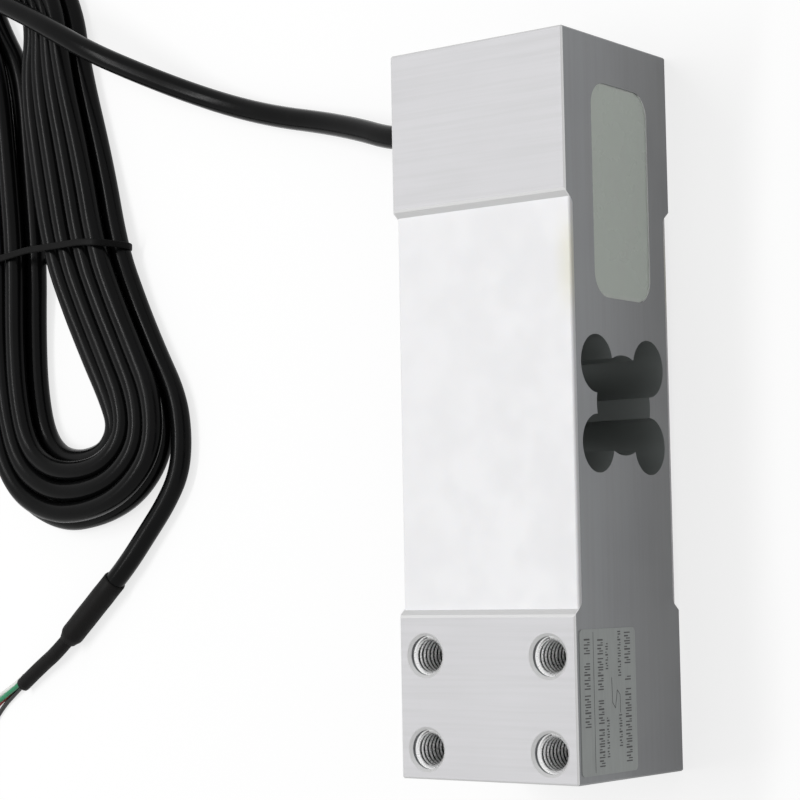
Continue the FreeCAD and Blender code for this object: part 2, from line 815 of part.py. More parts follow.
def cable_bush():
    """Turned bush, pressed into the counterbore up to its flange."""
    body = new_body("bush")
    half = new_sketch(body, "bush_section", "XZ_Plane")
    inner = half_width - size("bush_depth")
    bore, outer, rim = size("bush_bore") / 2, size("bush_diameter") / 2, \
        size("flange_diameter") / 2
    add_polygon(half, [(bore, inner), (outer, inner), (outer, half_width), (rim, half_width),
                       (rim, half_width + size("flange_thickness")),
                       (bore, half_width + size("flange_thickness"))])
    revolve(body, half, "V_Axis")
    about_cable_axis(body)
    return keep("cable_bush", body)


def cable_seal():
    """Rubber seal squeezed between bush and cable, with a short tapered nose."""
    body = new_body("seal")
    half = new_sketch(body, "seal_section", "XZ_Plane")
    inner = half_width - size("bush_depth")
    face = half_width + size("flange_thickness")
    cable, bore = cable_diameter / 2, size("bush_bore") / 2
    add_polygon(half, [(cable, inner), (bore, inner), (bore, face),
                       (size("seal_collar") / 2, face), (size("seal_nose") / 2, seal_end_y),
                       (cable, seal_end_y)])
    revolve(body, half, "V_Axis")
    about_cable_axis(body)
    return keep("cable_seal", body)


def cable_inner_end():
    """The jacketed cable from the side face into the pocket."""
    rod = stub("cable_inner_rod", (cable_x.value, cable_end_y.value, cable_z.value),
               (cable_x.value, half_width.value, cable_z.value), cable_diameter)
    bind(rod, "Height", half_width - cable_end_y)
    return keep("cable_inner_end", rod)


def inner_cores():
    """Four insulated cores from the cut jacket to their joints on the board."""
    spacing = SIZES["core_offset"] * 2
    start_y = cable_end_y.value
    end_y = board_back_y.value + SIZES["joint_thickness"]
    straight = (start_y - end_y) * 0.25
    for colour, (column, row) in CORE_PLACES.items():
        start_x = cable_x.value + (column - 0.5) * spacing
        start_z = cable_z.value + (row - 0.5) * spacing
        end_x, end_z = joint_place(column, row)
        points = [(start_x, start_y, start_z), (start_x, start_y - straight, start_z),
                  (end_x.value, end_y + straight, end_z.value), (end_x.value, end_y, end_z.value)]
        keep("inner_core_" + colour, tube("inner_" + colour, points, size("core_diameter")))


# ---------------------------------------------------------------- covers, potting and label

def gauge_cover(node, side, hidden):
    """Silicone layer over one gauge area, levelled below the end pads."""
    body = new_body(node)
    upwards = 1 if side == "top" else -1
    floor = relief_floors[side]
    surface = floor + size("cover_thickness") * upwards
    end_view = new_sketch(body, node + "_section", "YZ_Plane")
    low, high = (floor, surface) if side == "top" else (surface, floor)
    add_rectangle(end_view, -half_width, low, half_width, high)
    extrude(body, "Pad", end_view, pad_edge * 2, symmetric=True)

    def is_long_outer_edge(edge):
        return all_points(edge, lambda p: near(abs(p.y), half_width.value)
                          and near(p.z, surface.value)) and is_straight(edge) \
            and edge.Length > size("cover_thickness").value * 2

    dress(body, "Fillet", "Radius", size("cover_edge"), is_long_outer_edge)
    return cut_away(node, body, hidden)


def pocket_potting(hidden):
    """Translucent potting that fills the pocket almost to the side face."""
    body = new_body("potting")
    outline = new_sketch(body, "potting_outline", "XZ_Plane", -pocket_floor_y)
    add_rounded_rectangle(outline, pocket_low_x, pocket_low_z, pocket_high_x, pocket_high_z,
                          size("pocket_corner"))
    extrude(body, "Pad", outline, size("pocket_depth") - size("potting_recess"))
    return cut_away("pocket_potting", body, hidden)


def rating_label():
    """Plain film label on the pocket side, at the load end."""
    body = new_body("label")
    outline = new_sketch(body, "label_outline", "XZ_Plane", half_width)
    low_x = size("label_end_margin") - half_length
    add_rounded_rectangle(outline, low_x, size("label_rise"), low_x + size("label_length"),
                          size("label_rise") + size("label_height"), size("label_corner"))
    extrude(body, "Pad", outline, size("label_thickness"))
    return keep("rating_label", body)


# ---------------------------------------------------------------- free cable

def smooth_loop(points, height):
    """A closed smooth outline through the points, extruded upwards."""
    curve = Part.BSplineCurve()
    curve.interpolate(Points=[Vector(x, y, 0) for x, y in points], PeriodicFlag=True)
    face = Part.Face(Part.Wire(curve.toShape()))
    return face.extrude(Vector(0, 0, height))


def tie_loop(grow):
    """Section of the tie across the hank, as a box with rounded long edges."""
    low_y = SIZES["tie_low_y"] - grow
    high_y = SIZES["tie_high_y"] + grow
    low_z = SIZES["tie_thickness"] - grow
    high_z = SIZES["hank_height"] + grow
    corner = Vector(SIZES["tie_x"] - SIZES["tie_width"] / 2, low_y, low_z)
    box = Part.makeBox(SIZES["tie_width"], high_y - low_y, high_z - low_z, corner)
    edges = [edge for edge in box.Edges if near(edge.Length, SIZES["tie_width"])]
    return box.makeFillet(SIZES["tie_corner"] + grow, edges)


def cable_hank():
    """The wound turns as one solid of their outer shape, pinched by the tie."""
    height = SIZES["hank_height"]
    turns = smooth_loop(HANK_OUTLINE, height)
    rounded = [edge for edge in turns.Edges if near(edge.BoundBox.ZLength, 0)]
    turns = turns.makeFillet(SIZES["hank_rounding"], rounded)
    turns = turns.cut([smooth_loop(points, height) for points in (HANK_OPENING, HANK_FAR_OPENING)])
    width = SIZES["tie_width"]
    reach = SIZES["tie_high_y"] - SIZES["tie_low_y"]
    slab = Part.makeBox(width, 3 * reach, 3 * height,
                        Vector(SIZES["tie_x"] - width / 2, SIZES["tie_low_y"] - reach, -height))
    turns = turns.cut(slab.cut(tie_loop(0)))
    lead_end = Vector(*LEAD_END)
    diving = unit(Vector(*LEAD_ROUTE[-1]), lead_end)
    lead_stub = Part.makeCylinder(SIZES["cable_diameter"] / 2, SIZES["lead_dive"], lead_end,
                                  diving)
    tail_stub = tube("tail_stub", TAIL_LEAVING_HANK + [tail_start()], cable_diameter)
    turns = turns.fuse([lead_stub, tail_stub.Shape])
    feature = doc.addObject("Part::Feature", "cable_hank")
    feature.Shape = turns
    return keep("cable_hank", feature)


def cable_tie():
    """Nylon tie round the hank, its head on the far leg."""
    ring = tie_loop(SIZES["tie_thickness"]).cut(tie_loop(0))
    length, width = SIZES["tie_head_length"], SIZES["tie_head_width"]
    outside = SIZES["tie_high_y"] + SIZES["tie_thickness"] / 2
    corner = Vector(SIZES["tie_x"] - width / 2, outside, SIZES["tie_thickness"] + 1.0)
    head = Part.makeBox(width, length, SIZES["tie_head_height"], corner)
    feature = doc.addObject("Part::Feature", "cable_tie")
    feature.Shape = ring.fuse(head).removeSplitter()
    return keep("cable_tie", feature)


def shrink_sleeve():
    """Heat-shrink sleeve over the cut jacket, drawn down onto the end tube."""
    start, end = Vector(*SLEEVE_START), Vector(*SLEEVE_END)
    length = start.distanceToPoint(end)
    grip = size("sleeve_grip")
    outer, tip = size("sleeve_diameter") / 2, size("sleeve_end_diameter") / 2
    cable, tube_radius = cable_diameter / 2, size("end_tube_diameter") / 2
    body = new_body("sleeve")
    half = new_sketch(body, "sleeve_section", "XZ_Plane")
    taper_start = as_dim(length) - size("sleeve_taper")
    add_polygon(half, [(cable, 0), (outer, 0), (outer, taper_start), (tip, length),
                       (tube_radius, length), (tube_radius, grip), (cable, grip)])
    revolve(body, half, "V_Axis")
    body.Placement = Placement(start, Rotation(Vector(0, 0, 1), end - start))
    return keep("shrink_sleeve", body)


def beyond(start, end, distance):
    """The point at this distance from the first point, towards the second."""
    start, end = Vector(*start), Vector(*end)
    return tuple(start + unit(start, end) * distance)


def on_sleeve_axis(distance):
    return beyond(SLEEVE_START, SLEEVE_END, distance)


def tail_start():
    """Where the tail's tube takes over from the hank's stub."""
    return beyond(TAIL_LEAVING_HANK[-1], on_sleeve_axis(-SIZES["tail_turn"]),
                  SIZES["tail_stub"])


def free_cable():
    exit_point = (cable_x.value, half_width.value, cable_z.value)
    keep("cable_lead", tube("lead", [exit_point] + LEAD_ROUTE[1:] + [LEAD_END], cable_diameter))
    cable_hank()
    cable_tie()
    cut_end = on_sleeve_axis(SIZES["sleeve_grip"])
    tail = [tail_start(), on_sleeve_axis(-SIZES["tail_turn"]), cut_end]
    keep("cable_tail", tube("tail", tail, cable_diameter))
    shrink_sleeve()
    sleeve_length = Vector(*SLEEVE_START).distanceToPoint(Vector(*SLEEVE_END))
    tube_turn = on_sleeve_axis(sleeve_length + SIZES["end_tube_turn"])
    tube_points = [cut_end, tube_turn] + END_TUBE_ROUTE
    jacket = tube("end_tube", tube_points, size("end_tube_diameter"))
    bore = tube("end_tube_bore", tube_points, size("end_tube_bore"))
    cut_away("end_tube", jacket, [bore])
    cable_cores(tube_points)


def cable_cores(tube_points):
    """Four cores through the end tube, fanned out and tinned at their ends."""
    offset = SIZES["core_offset"]
    middle = [Vector(*point) for point in tube_points]
    middle[-1] += unit(middle[-2], middle[-1]) * SIZES["core_straight"]
    along = unit(middle[0], middle[1])
    sideways = along.cross(Vector(0, 0, 1)).normalize()
    tips = []
    for index, (node, fan) in enumerate(CORE_ROUTES.items()):
        across = offset if index < 2 else -offset
        raised = offset if index in (1, 2) else -offset
        shift = sideways * across + along.cross(sideways) * -raised
        points = [tuple(point + shift) for point in middle]
        points += fan
        keep(node, tube(node, points, size("core_diameter")))
        last, before = Vector(*fan[-1]), Vector(*fan[-2])
        tip_end = last + unit(before, last) * SIZES["tinned_length"]
        tips.append(stub("tip_%d" % index, tuple(last), tuple(tip_end), size("tinned_diameter")))
    compound = doc.addObject("Part::Compound", "tinned_ends")
    compound.Links = tips
    keep("tinned_ends", compound)


# ---------------------------------------------------------------- assembly

spring_body()
hidden = {"top": [], "bottom": []}
in_pocket = []
for side in ("top", "bottom"):
    for place, x in (("load", -lobe_offset_x), ("fixed", lobe_offset_x)):
        hidden[side].append(gauge_backing("gauge_film_%s_%s" % (side, place), side, x))
        hidden[side].append(gauge_grid("gauge_grid_%s_%s" % (side, place), side, x))
    hidden[side].append(terminal_strip("terminal_strip_" + side, side))
    hidden[side].append(terminal_pads("terminal_pads_" + side, side))
    hidden[side].append(gauge_jumpers("gauge_jumpers_" + side, side))
    ribbon = gauge_ribbon("gauge_ribbon_" + side, side)
    hidden[side].append(ribbon)
    in_pocket.append(ribbon)
in_pocket.append(compensation_board())
in_pocket.append(trim_resistors())
in_pocket.append(solder_joints())
cable_bush()
cable_seal()
in_pocket.append(cable_inner_end())
before_cores = len(sub_parts)
inner_cores()
in_pocket += sub_parts[before_cores:]
block = sub_parts[0]
for side in ("top", "bottom"):
    gauge_cover("gauge_cover_" + side, side, [block] + hidden[side])
pocket_potting(in_pocket)
rating_label()
free_cable()
doc.recompute()

# ---------------------------------------------------------------- checks and export

for feature in doc.Objects:
    if "Invalid" in feature.State or "Error" in feature.State:
        raise RuntimeError("%s is %s" % (feature.Label, feature.State))
for piece in sub_parts:
    if piece.Shape.isNull() or not piece.Shape.isValid() or not piece.Shape.Solids:
        raise RuntimeError("%s has no valid shape" % piece.Label)

os.makedirs("parts", exist_ok=True)
for piece in sub_parts:
    piece.Shape.exportStep("parts/%s.step" % piece.Label)
print("%d sub-parts written" % len(sub_parts))
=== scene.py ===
import math

import bmesh
import bpy
from mathutils import Matrix, Vector


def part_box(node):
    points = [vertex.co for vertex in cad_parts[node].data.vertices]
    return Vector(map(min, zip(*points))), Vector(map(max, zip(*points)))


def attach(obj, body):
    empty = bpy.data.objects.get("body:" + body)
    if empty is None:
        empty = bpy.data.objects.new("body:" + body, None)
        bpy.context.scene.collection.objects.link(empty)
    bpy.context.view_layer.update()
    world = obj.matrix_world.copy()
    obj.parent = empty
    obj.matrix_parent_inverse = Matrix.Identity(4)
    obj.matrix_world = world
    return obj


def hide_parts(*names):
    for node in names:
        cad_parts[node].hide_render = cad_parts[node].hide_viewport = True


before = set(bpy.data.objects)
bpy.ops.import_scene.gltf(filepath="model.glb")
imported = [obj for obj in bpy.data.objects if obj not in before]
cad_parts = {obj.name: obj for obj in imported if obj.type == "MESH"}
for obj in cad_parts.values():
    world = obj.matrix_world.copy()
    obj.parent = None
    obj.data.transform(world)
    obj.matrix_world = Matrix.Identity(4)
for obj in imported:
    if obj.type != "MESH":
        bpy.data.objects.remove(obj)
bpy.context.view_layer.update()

# ---------------------------------------------------------------- spring body
# The load cell's body is one bar of aluminium alloy, milled all over, with a binocular cutout
# bored through it. The end pads are fly cut bright and the long sides are duller, with their colour
# painted darker than the pads' as painted shade. It is the CAD solid itself, which only gets its
# finish here.
BODY_HEIGHT = 0.040
# Where the painted shade and painted highlights change, as the two ends of each soft step.
# Distances along and across are from the body's middle and heights from its underside, but
# TOP_EDGE is from the middle height.
CUTOUT_HALF_REACH = (0.0150, 0.0160)
CUTOUT_HEIGHTS = ((0.0028, 0.0034), (0.0366, 0.0372))
HOLES_ALONG = ((0.0440, 0.0446), (0.0741, 0.0746))
HOLES_ACROSS = ((0.0103, 0.0106), (0.0194, 0.0197))
HOLES_HEIGHTS = ((0.0016, 0.0021), (0.0379, 0.0384))
LONG_EDGE = (0.02110, 0.02140)
TOP_EDGE = (0.01955, 0.01992)


def new_finish(name):
    finish = bpy.data.materials.new(name)
    finish.use_nodes = True
    return finish, finish.node_tree, finish.node_tree.nodes["Principled BSDF"]


def wear(node_name, finish):
    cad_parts[node_name].data.materials.clear()
    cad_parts[node_name].data.materials.append(finish)


def place(tree, stretch=(1, 1, 1)):
    """The piece's own Object coordinates in metres, stretched."""
    where = tree.nodes.new("ShaderNodeTexCoord")
    moved = tree.nodes.new("ShaderNodeMapping")
    moved.inputs["Scale"].default_value = stretch
    tree.links.new(where.outputs["Object"], moved.inputs["Vector"])
    return moved.outputs["Vector"]


def apart(tree, vector):
    split = tree.nodes.new("ShaderNodeSeparateXYZ")
    tree.links.new(vector, split.inputs["Vector"])
    return split.outputs["X"], split.outputs["Y"], split.outputs["Z"]


def facing(tree):
    where = tree.nodes.new("ShaderNodeNewGeometry")
    return apart(tree, where.outputs["Normal"])


def put(tree, socket, value):
    """Links an output, or sets a plain number or colour."""
    if isinstance(value, bpy.types.NodeSocket):
        tree.links.new(value, socket)
    else:
        socket.default_value = value


def worked(tree, sum_kind, first, second=0.0):
    node = tree.nodes.new("ShaderNodeMath")
    node.operation = sum_kind
    put(tree, node.inputs[0], first)
    put(tree, node.inputs[1], second)
    return node.outputs[0]


def eased(tree, value, low, high, start=0.0, end=1.0):
    """Goes smoothly from start to end while the value goes from low to high."""
    node = tree.nodes.new("ShaderNodeMapRange")
    node.interpolation_type = "SMOOTHSTEP"
    put(tree, node.inputs["Value"], value)
    node.inputs["From Min"].default_value = low
    node.inputs["From Max"].default_value = high
    node.inputs["To Min"].default_value = start
    node.inputs["To Max"].default_value = end
    return node.outputs["Result"]


def all_of(tree, mask, *others):
    """The product of several masks, or of masks and a plain share."""
    for other in others:
        mask = worked(tree, "MULTIPLY", mask, other)
    return mask


def band(tree, value, rise, fall):
    """Is 1 from the end of the rise to the start of the fall, each given as (from, to)."""
    return all_of(tree, eased(tree, value, *rise), eased(tree, value, *fall, 1.0, 0.0))


def mottle(tree, scale, detail=3.0, rough=0.55, stretch=(1, 1, 1)):
    node = tree.nodes.new("ShaderNodeTexNoise")
    node.inputs["Scale"].default_value = scale
    node.inputs["Detail"].default_value = detail
    node.inputs["Roughness"].default_value = rough
    tree.links.new(place(tree, stretch), node.inputs["Vector"])
    return node.outputs["Fac"]


def mixed(tree, amount, first, second):
    node = tree.nodes.new("ShaderNodeMix")
    node.data_type = "RGBA"
    put(tree, node.inputs["Factor"], amount)
    put(tree, node.inputs["A"], first)
    put(tree, node.inputs["B"], second)
    return node.outputs["Result"]


def mixed_number(tree, amount, first, second):
    node = tree.nodes.new("ShaderNodeMix")
    put(tree, node.inputs["Factor"], amount)
    put(tree, node.inputs["A"], first)
    put(tree, node.inputs["B"], second)
    return node.outputs["Result"]


def relief(tree, shader, height, strength, depth):
    """Bumps the shader's surface by a height, in metres at its full depth."""
    node = tree.nodes.new("ShaderNodeBump")
    node.inputs["Strength"].default_value = strength
    node.inputs["Distance"].default_value = depth
    tree.links.new(height, node.inputs["Height"])
    if shader.inputs["Normal"].is_linked:
        tree.links.new(shader.inputs["Normal"].links[0].from_socket, node.inputs["Normal"])
    tree.links.new(node.outputs["Normal"], shader.inputs["Normal"])


def grey(level, tint=(1.0, 1.0, 1.0)):
    return (level * tint[0], level * tint[1], level * tint[2], 1.0)


milled, tree, shader = new_finish("milled_aluminium")
x, y, z = apart(tree, place(tree))
from_middle_x = worked(tree, "ABSOLUTE", x)
from_middle_y = worked(tree, "ABSOLUTE", y)
from_middle_z = worked(tree, "ABSOLUTE", worked(tree, "SUBTRACT", z, BODY_HEIGHT / 2))
_, ny, nz = facing(tree)
across = worked(tree, "ABSOLUTE", ny)
upright = worked(tree, "ABSOLUTE", nz)
on_slope = band(tree, upright, (0.3, 0.5), (0.93, 0.98))
on_pad = worked(tree, "MAXIMUM", on_slope, eased(tree, upright, 0.6, 0.95))
# The cutout's wall never faces the long sides, and a tapped hole's wall never faces up or down.
# Painted shade: the cutout's wall is coloured darker than the pads.
cutout_shade = all_of(
    tree,
    eased(tree, from_middle_x, *CUTOUT_HALF_REACH, 1.0, 0.0),
    eased(tree, across, 0.3, 0.6, 1.0, 0.0),
    band(tree, z, *CUTOUT_HEIGHTS),
)
# Painted shade: a tapped hole's wall is coloured near black.
hole_shade = all_of(
    tree,
    band(tree, from_middle_x, *HOLES_ALONG),
    band(tree, from_middle_y, *HOLES_ACROSS),
    band(tree, z, *HOLES_HEIGHTS),
    eased(tree, upright, 0.1, 0.3, 1.0, 0.0),
)
# Painted highlights: a bright line along the pads' long edges and along the sides' upper and lower
# edges.
long_edge_highlight = eased(tree, from_middle_y, *LONG_EDGE)
side_edge_highlight = eased(tree, from_middle_z, *TOP_EDGE)
cloud = mottle(tree, 55.0, 3.0, 0.5)
streak = mottle(tree, 900.0, 2.0, 0.5, (0.035, 1.0, 1.0))
sweep = mottle(tree, 1400.0, 2.0, 0.6, (1.0, 0.02, 1.0))
pad_colour = mixed(tree, cloud, grey(0.46, (0.995, 0.99, 1.015)), grey(0.50, (1.0, 0.995, 1.02)))
pad_colour = mixed(tree, eased(tree, sweep, 0.35, 0.75, 0.0, 0.25), pad_colour, grey(0.42))
# Painted highlight: the sloping shoulders are coloured brighter than the pads.
pad_colour = mixed(tree, on_slope, pad_colour, grey(0.66))
pad_colour = mixed(tree, all_of(tree, long_edge_highlight, 0.7), pad_colour, grey(0.80))
# Painted shade: the sides and ends are coloured darker than the pads.
side_colour = mixed(tree, cloud, grey(0.27, (0.96, 1.0, 1.02)), grey(0.34, (0.98, 1.0, 1.05)))
side_colour = mixed(tree, eased(tree, streak, 0.3, 0.8, 0.0, 0.30), side_colour, grey(0.24))
# Painted shade: the sides' colour darkens towards the underside.
side_colour = mixed(tree, eased(tree, z, 0.0, BODY_HEIGHT, 0.50, 0.0), side_colour, grey(0.14))
side_colour = mixed(tree, all_of(tree, side_edge_highlight, 0.6), side_colour, grey(0.60))
colour = mixed(tree, on_pad, side_colour, pad_colour)
colour = mixed(tree, cutout_shade, colour, grey(0.24, (0.95, 1.02, 1.0)))
colour = mixed(tree, hole_shade, colour, grey(0.06))
tree.links.new(colour, shader.inputs["Base Color"])
shader.inputs["Metallic"].default_value = 0.45
side_rough = eased(tree, cloud, 0.3, 0.7, 0.36, 0.5)
pad_rough = eased(tree, sweep, 0.3, 0.7, 0.585, 0.605)
tree.links.new(mixed_number(tree, on_pad, side_rough, pad_rough), shader.inputs["Roughness"])
relief(tree, shader, mixed_number(tree, on_pad, streak, sweep), 0.05, 0.00004)
wear("spring_body", milled)

# ---------------------------------------------------------------- tapped holes
# Four M8 holes in the load end's upper pad and four from below in the fixed end. The crests are
# painted near white as painted highlights and the roots near black as painted shade. The ridge is
# spun up each bore of the CAD body. In the fixed end, whose bores are 7 mm deep, it runs on 8.8 mm
# past them, unseen: through the metal and, at three holes, into the resin with its board or into
# the cable's bush and seal.
THREAD_PITCH = 0.00125
THREAD_ROOT = 0.00403
THREAD_CREST = 0.00335
CREST_ROUNDING = 0.00005
CREST_HALF_WIDTH = 0.26
RIDGE_WIDTH = 0.999
STEPS_A_TURN = 30
TURNS = 11
LOAD_THREAD_FOOT = 0.0245
FIXED_THREAD_FOOT = 0.0008
LOAD_HOLES = [(-0.069, -0.015), (-0.069, 0.015), (-0.050, -0.015), (-0.050, 0.015)]
FIXED_HOLES = [(0.050, -0.015), (0.050, 0.015), (0.069, -0.015), (0.069, 0.015)]


def thread_turns(bm, centre, start):
    """One thread from its start up, with its crest rounded over a share of half a pitch."""
    half = THREAD_PITCH / 2
    ridge = [
        (THREAD_ROOT, start),
        (THREAD_CREST + CREST_ROUNDING, start + half * (1 - CREST_HALF_WIDTH)),
        (THREAD_CREST, start + half),
        (THREAD_CREST + CREST_ROUNDING, start + half * (1 + CREST_HALF_WIDTH)),
        (THREAD_ROOT, start + THREAD_PITCH * RIDGE_WIDTH),
    ]
    corners = [bm.verts.new((centre[0] + r, centre[1], height)) for r, height in ridge]
    edges = [bm.edges.new(pair) for pair in zip(corners, corners[1:])]
    bmesh.ops.spin(
        bm,
        geom=corners + edges,
        cent=(centre[0], centre[1], 0.0),
        axis=(0.0, 0.0, 1.0),
        dvec=(0.0, 0.0, THREAD_PITCH / STEPS_A_TURN),
        angle=2 * math.pi * TURNS,
        steps=STEPS_A_TURN * TURNS,
    )


def piece_from(bm, name, smooth=True):
    mesh = bpy.data.meshes.new(name)
    bm.to_mesh(mesh)
    bm.free()
    piece = bpy.data.objects.new(name, mesh)
    bpy.context.scene.collection.objects.link(piece)
    for face in mesh.polygons:
        face.use_smooth = smooth
    return piece


bm = bmesh.new()
for hole in LOAD_HOLES:
    thread_turns(bm, hole, LOAD_THREAD_FOOT)
for hole in FIXED_HOLES:
    thread_turns(bm, hole, FIXED_THREAD_FOOT)
crest = bm.verts.layers.float.new("crest")
for vert in bm.verts:
    nearest = min(
        math.hypot(vert.co.x - hx, vert.co.y - hy) for hx, hy in LOAD_HOLES + FIXED_HOLES
    )
    vert[crest] = (THREAD_ROOT - nearest) / (THREAD_ROOT - THREAD_CREST)
bmesh.ops.recalc_face_normals(bm, faces=bm.faces)
threads = piece_from(bm, "screw_threads")
cut, tree, shader = new_finish("cut_thread")
crest_reading = tree.nodes.new("ShaderNodeAttribute")
crest_reading.attribute_name = "crest"
_, _, z = apart(tree, place(tree))
bright = eased(tree, crest_reading.outputs["Fac"], 0.52, 0.74)
# Painted highlight: at each mouth the thread is bright all over.
bright = worked(tree, "MAXIMUM", bright, eased(tree, z, 0.0380, 0.0383))
bright = worked(tree, "MAXIMUM", bright, eased(tree, z, 0.0017, 0.0020, 1.0, 0.0))
nicks = mottle(tree, 2500.0, 2.0)
# The near white of the painted highlight on crests and mouths; the roots get near black as painted
# shade.
steel = mixed(tree, nicks, grey(0.90), grey(1.0))
tree.links.new(mixed(tree, bright, grey(0.004), steel), shader.inputs["Base Color"])
tree.links.new(eased(tree, nicks, 0.3, 0.7, 0.25, 0.4), shader.inputs["Roughness"])
shader.inputs["Metallic"].default_value = 0.7
threads.data.materials.append(cut)
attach(threads, "root")

# ---------------------------------------------------------------- strain gauges
# Four foil gauges are bonded over the thin webs of the cutout, two above and two below, with a
# terminal strip between them and a flat ribbon to the pocket. The white covers hide them all.


def dress(tree, shader, pattern, colours, roughness, metallic=0.0):
    """Lets one pattern set the colour and the roughness, each between two values."""
    tree.links.new(mixed(tree, pattern, *colours), shader.inputs["Base Color"])
    tree.links.new(eased(tree, pattern, 0.3, 0.7, *roughness), shader.inputs["Roughness"])
    shader.inputs["Metallic"].default_value = metallic


film, tree, shader = new_finish("gauge_film")
ambers = ((0.36, 0.17, 0.03, 1.0), (0.46, 0.24, 0.06, 1.0))
dress(tree, shader, mottle(tree, 900.0, 3.0), ambers, (0.25, 0.4))

foil, tree, shader = new_finish("etched_foil")
etched = mottle(tree, 3000.0, 2.0)
dress(tree, shader, etched, (grey(0.38), grey(0.5)), (0.3, 0.5), metallic=1.0)

copper, tree, shader = new_finish("bare_copper")
coppers = ((0.52, 0.17, 0.07, 1.0), (0.72, 0.34, 0.18, 1.0))
dress(tree, shader, mottle(tree, 1200.0, 3.0), coppers, (0.22, 0.4), metallic=1.0)

ribbon, tree, shader = new_finish("ribbon_lead")
dress(tree, shader, mottle(tree, 2000.0, 2.0), (grey(0.03), grey(0.05)), (0.4, 0.55))

for level in ("top", "bottom"):
    for end in ("load", "fixed"):
        wear("gauge_film_%s_%s" % (level, end), film)
        wear("gauge_grid_%s_%s" % (level, end), foil)
    wear("terminal_strip_" + level, film)
    wear("terminal_pads_" + level, copper)
    wear("gauge_jumpers_" + level, copper)
    wear("gauge_ribbon_" + level, ribbon)

# ---------------------------------------------------------------- compensation board
# A small laminate board with trimming resistors stands in the side pocket and joins the gauges to
# the cable's cores. Its joints are hand soldered, and the potting covers it.
laminate, tree, shader = new_finish("board_laminate")
weave = mottle(tree, 1800.0, 2.0, 0.5, (1.0, 1.0, 0.4))
greens = ((0.010, 0.075, 0.030, 1.0), (0.020, 0.115, 0.050, 1.0))
dress(tree, shader, weave, greens, (0.3, 0.45))
wear("compensation_board", laminate)

resistor, tree, shader = new_finish("resistor_body")
dress(tree, shader, mottle(tree, 2500.0, 3.0), (grey(0.008), grey(0.02)), (0.5, 0.7))
wear("trim_resistors", resistor)

solder, tree, shader = new_finish("solder")
flow = mottle(tree, 1500.0, 2.0)
dress(tree, shader, flow, (grey(0.45), grey(0.6)), (0.2, 0.4), metallic=1.0)
relief(tree, shader, flow, 0.3, 0.0001)
wear("solder_joints", solder)

# ---------------------------------------------------------------- silicone covers
# A sheet of white silicone is cast over the gauges, above and below, flush with the long edges
# and about a millimetre under the pads. It is satin, very slightly uneven, and yellows in places.
silicone, tree, shader = new_finish("white_silicone")
x, y, _ = apart(tree, place(tree))
soft_cloud = mottle(tree, 38.0, 3.0, 0.5)
white = mixed(tree, soft_cloud, grey(0.875, (0.985, 0.985, 1.0)), grey(0.90, (0.99, 0.99, 1.005)))
near_edge = eased(tree, y, -0.0215, -0.0165, 1.0, 0.0)
near_pocket = band(tree, x, (0.014, 0.026), (0.030, 0.040))
stain = all_of(tree, near_edge, near_pocket, 0.5)
white = mixed(tree, stain, white, (0.80, 0.78, 0.58, 1.0))
tree.links.new(white, shader.inputs["Base Color"])
tree.links.new(
    eased(tree, mottle(tree, 140.0, 2.0), 0.3, 0.7, 0.42, 0.56), shader.inputs["Roughness"]
)
shader.inputs["Subsurface Weight"].default_value = 0.08
shader.inputs["Subsurface Radius"].default_value = (0.6, 0.5, 0.4)
shader.inputs["Subsurface Scale"].default_value = 0.001
relief(tree, shader, mottle(tree, 160.0, 2.0), 0.05, 0.0004)
wear("gauge_cover_top", silicone)
wear("gauge_cover_bottom", silicone)

# ---------------------------------------------------------------- pocket potting
# The side pocket is filled with a grey-green casting resin, a hair under the body's side. It is
# glossy and slightly cloudy, with a painted highlight along the pocket's ends and a painted shadow
# along its upper edge.
potting, tree, shader = new_finish("casting_resin")
x, _, z = apart(tree, place(tree))
cloudy = mottle(tree, 70.0, 4.0, 0.55)
depth = mottle(tree, 190.0, 2.0, 0.5, (0.4, 1.0, 1.0))
resin = mixed(tree, cloudy, (0.61, 0.685, 0.61, 1.0), (0.66, 0.725, 0.65, 1.0))
resin = mixed(tree, eased(tree, depth, 0.5, 0.8, 0.0, 0.3), resin, (0.61, 0.63, 0.59, 1.0))
wander = mottle(tree, 260.0, 2.0)
pocket_low, pocket_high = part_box("pocket_potting")
# Painted highlight: a pale rim along the pocket's ends. Painted shadow: a dark rim along its upper
# edge.
ragged = all_of(tree, wander, 0.0012)
at_inner_end = worked(tree, "SUBTRACT", x, ragged)
at_outer_end = worked(tree, "ADD", x, ragged)
painted_rim_highlight = worked(
    tree,
    "MAXIMUM",
    eased(tree, at_inner_end, pocket_low.x - 0.0006, pocket_low.x + 0.0006, 1.0, 0.0),
    eased(tree, at_outer_end, pocket_high.x - 0.0004, pocket_high.x + 0.0006),
)
resin = mixed(tree, all_of(tree, painted_rim_highlight, 0.7), resin, (0.78, 0.82, 0.76, 1.0))
at_head = worked(tree, "ADD", z, all_of(tree, wander, 0.0004))
painted_rim_shadow = eased(tree, at_head, pocket_high.z - 0.0001, pocket_high.z + 0.0002)
resin = mixed(tree, all_of(tree, painted_rim_shadow, 0.8), resin, (0.12, 0.13, 0.12, 1.0))
tree.links.new(resin, shader.inputs["Base Color"])
tree.links.new(eased(tree, cloudy, 0.3, 0.7, 0.22, 0.32), shader.inputs["Roughness"])
shader.inputs["Subsurface Weight"].default_value = 0.15
shader.inputs["Subsurface Radius"].default_value = (0.8, 1.0, 0.8)
shader.inputs["Subsurface Scale"].default_value = 0.002
shader.inputs["Coat Weight"].default_value = 0.3
shader.inputs["Coat Roughness"].default_value = 0.1
relief(tree, shader, depth, 0.02, 0.0006)
wear("pocket_potting", potting)

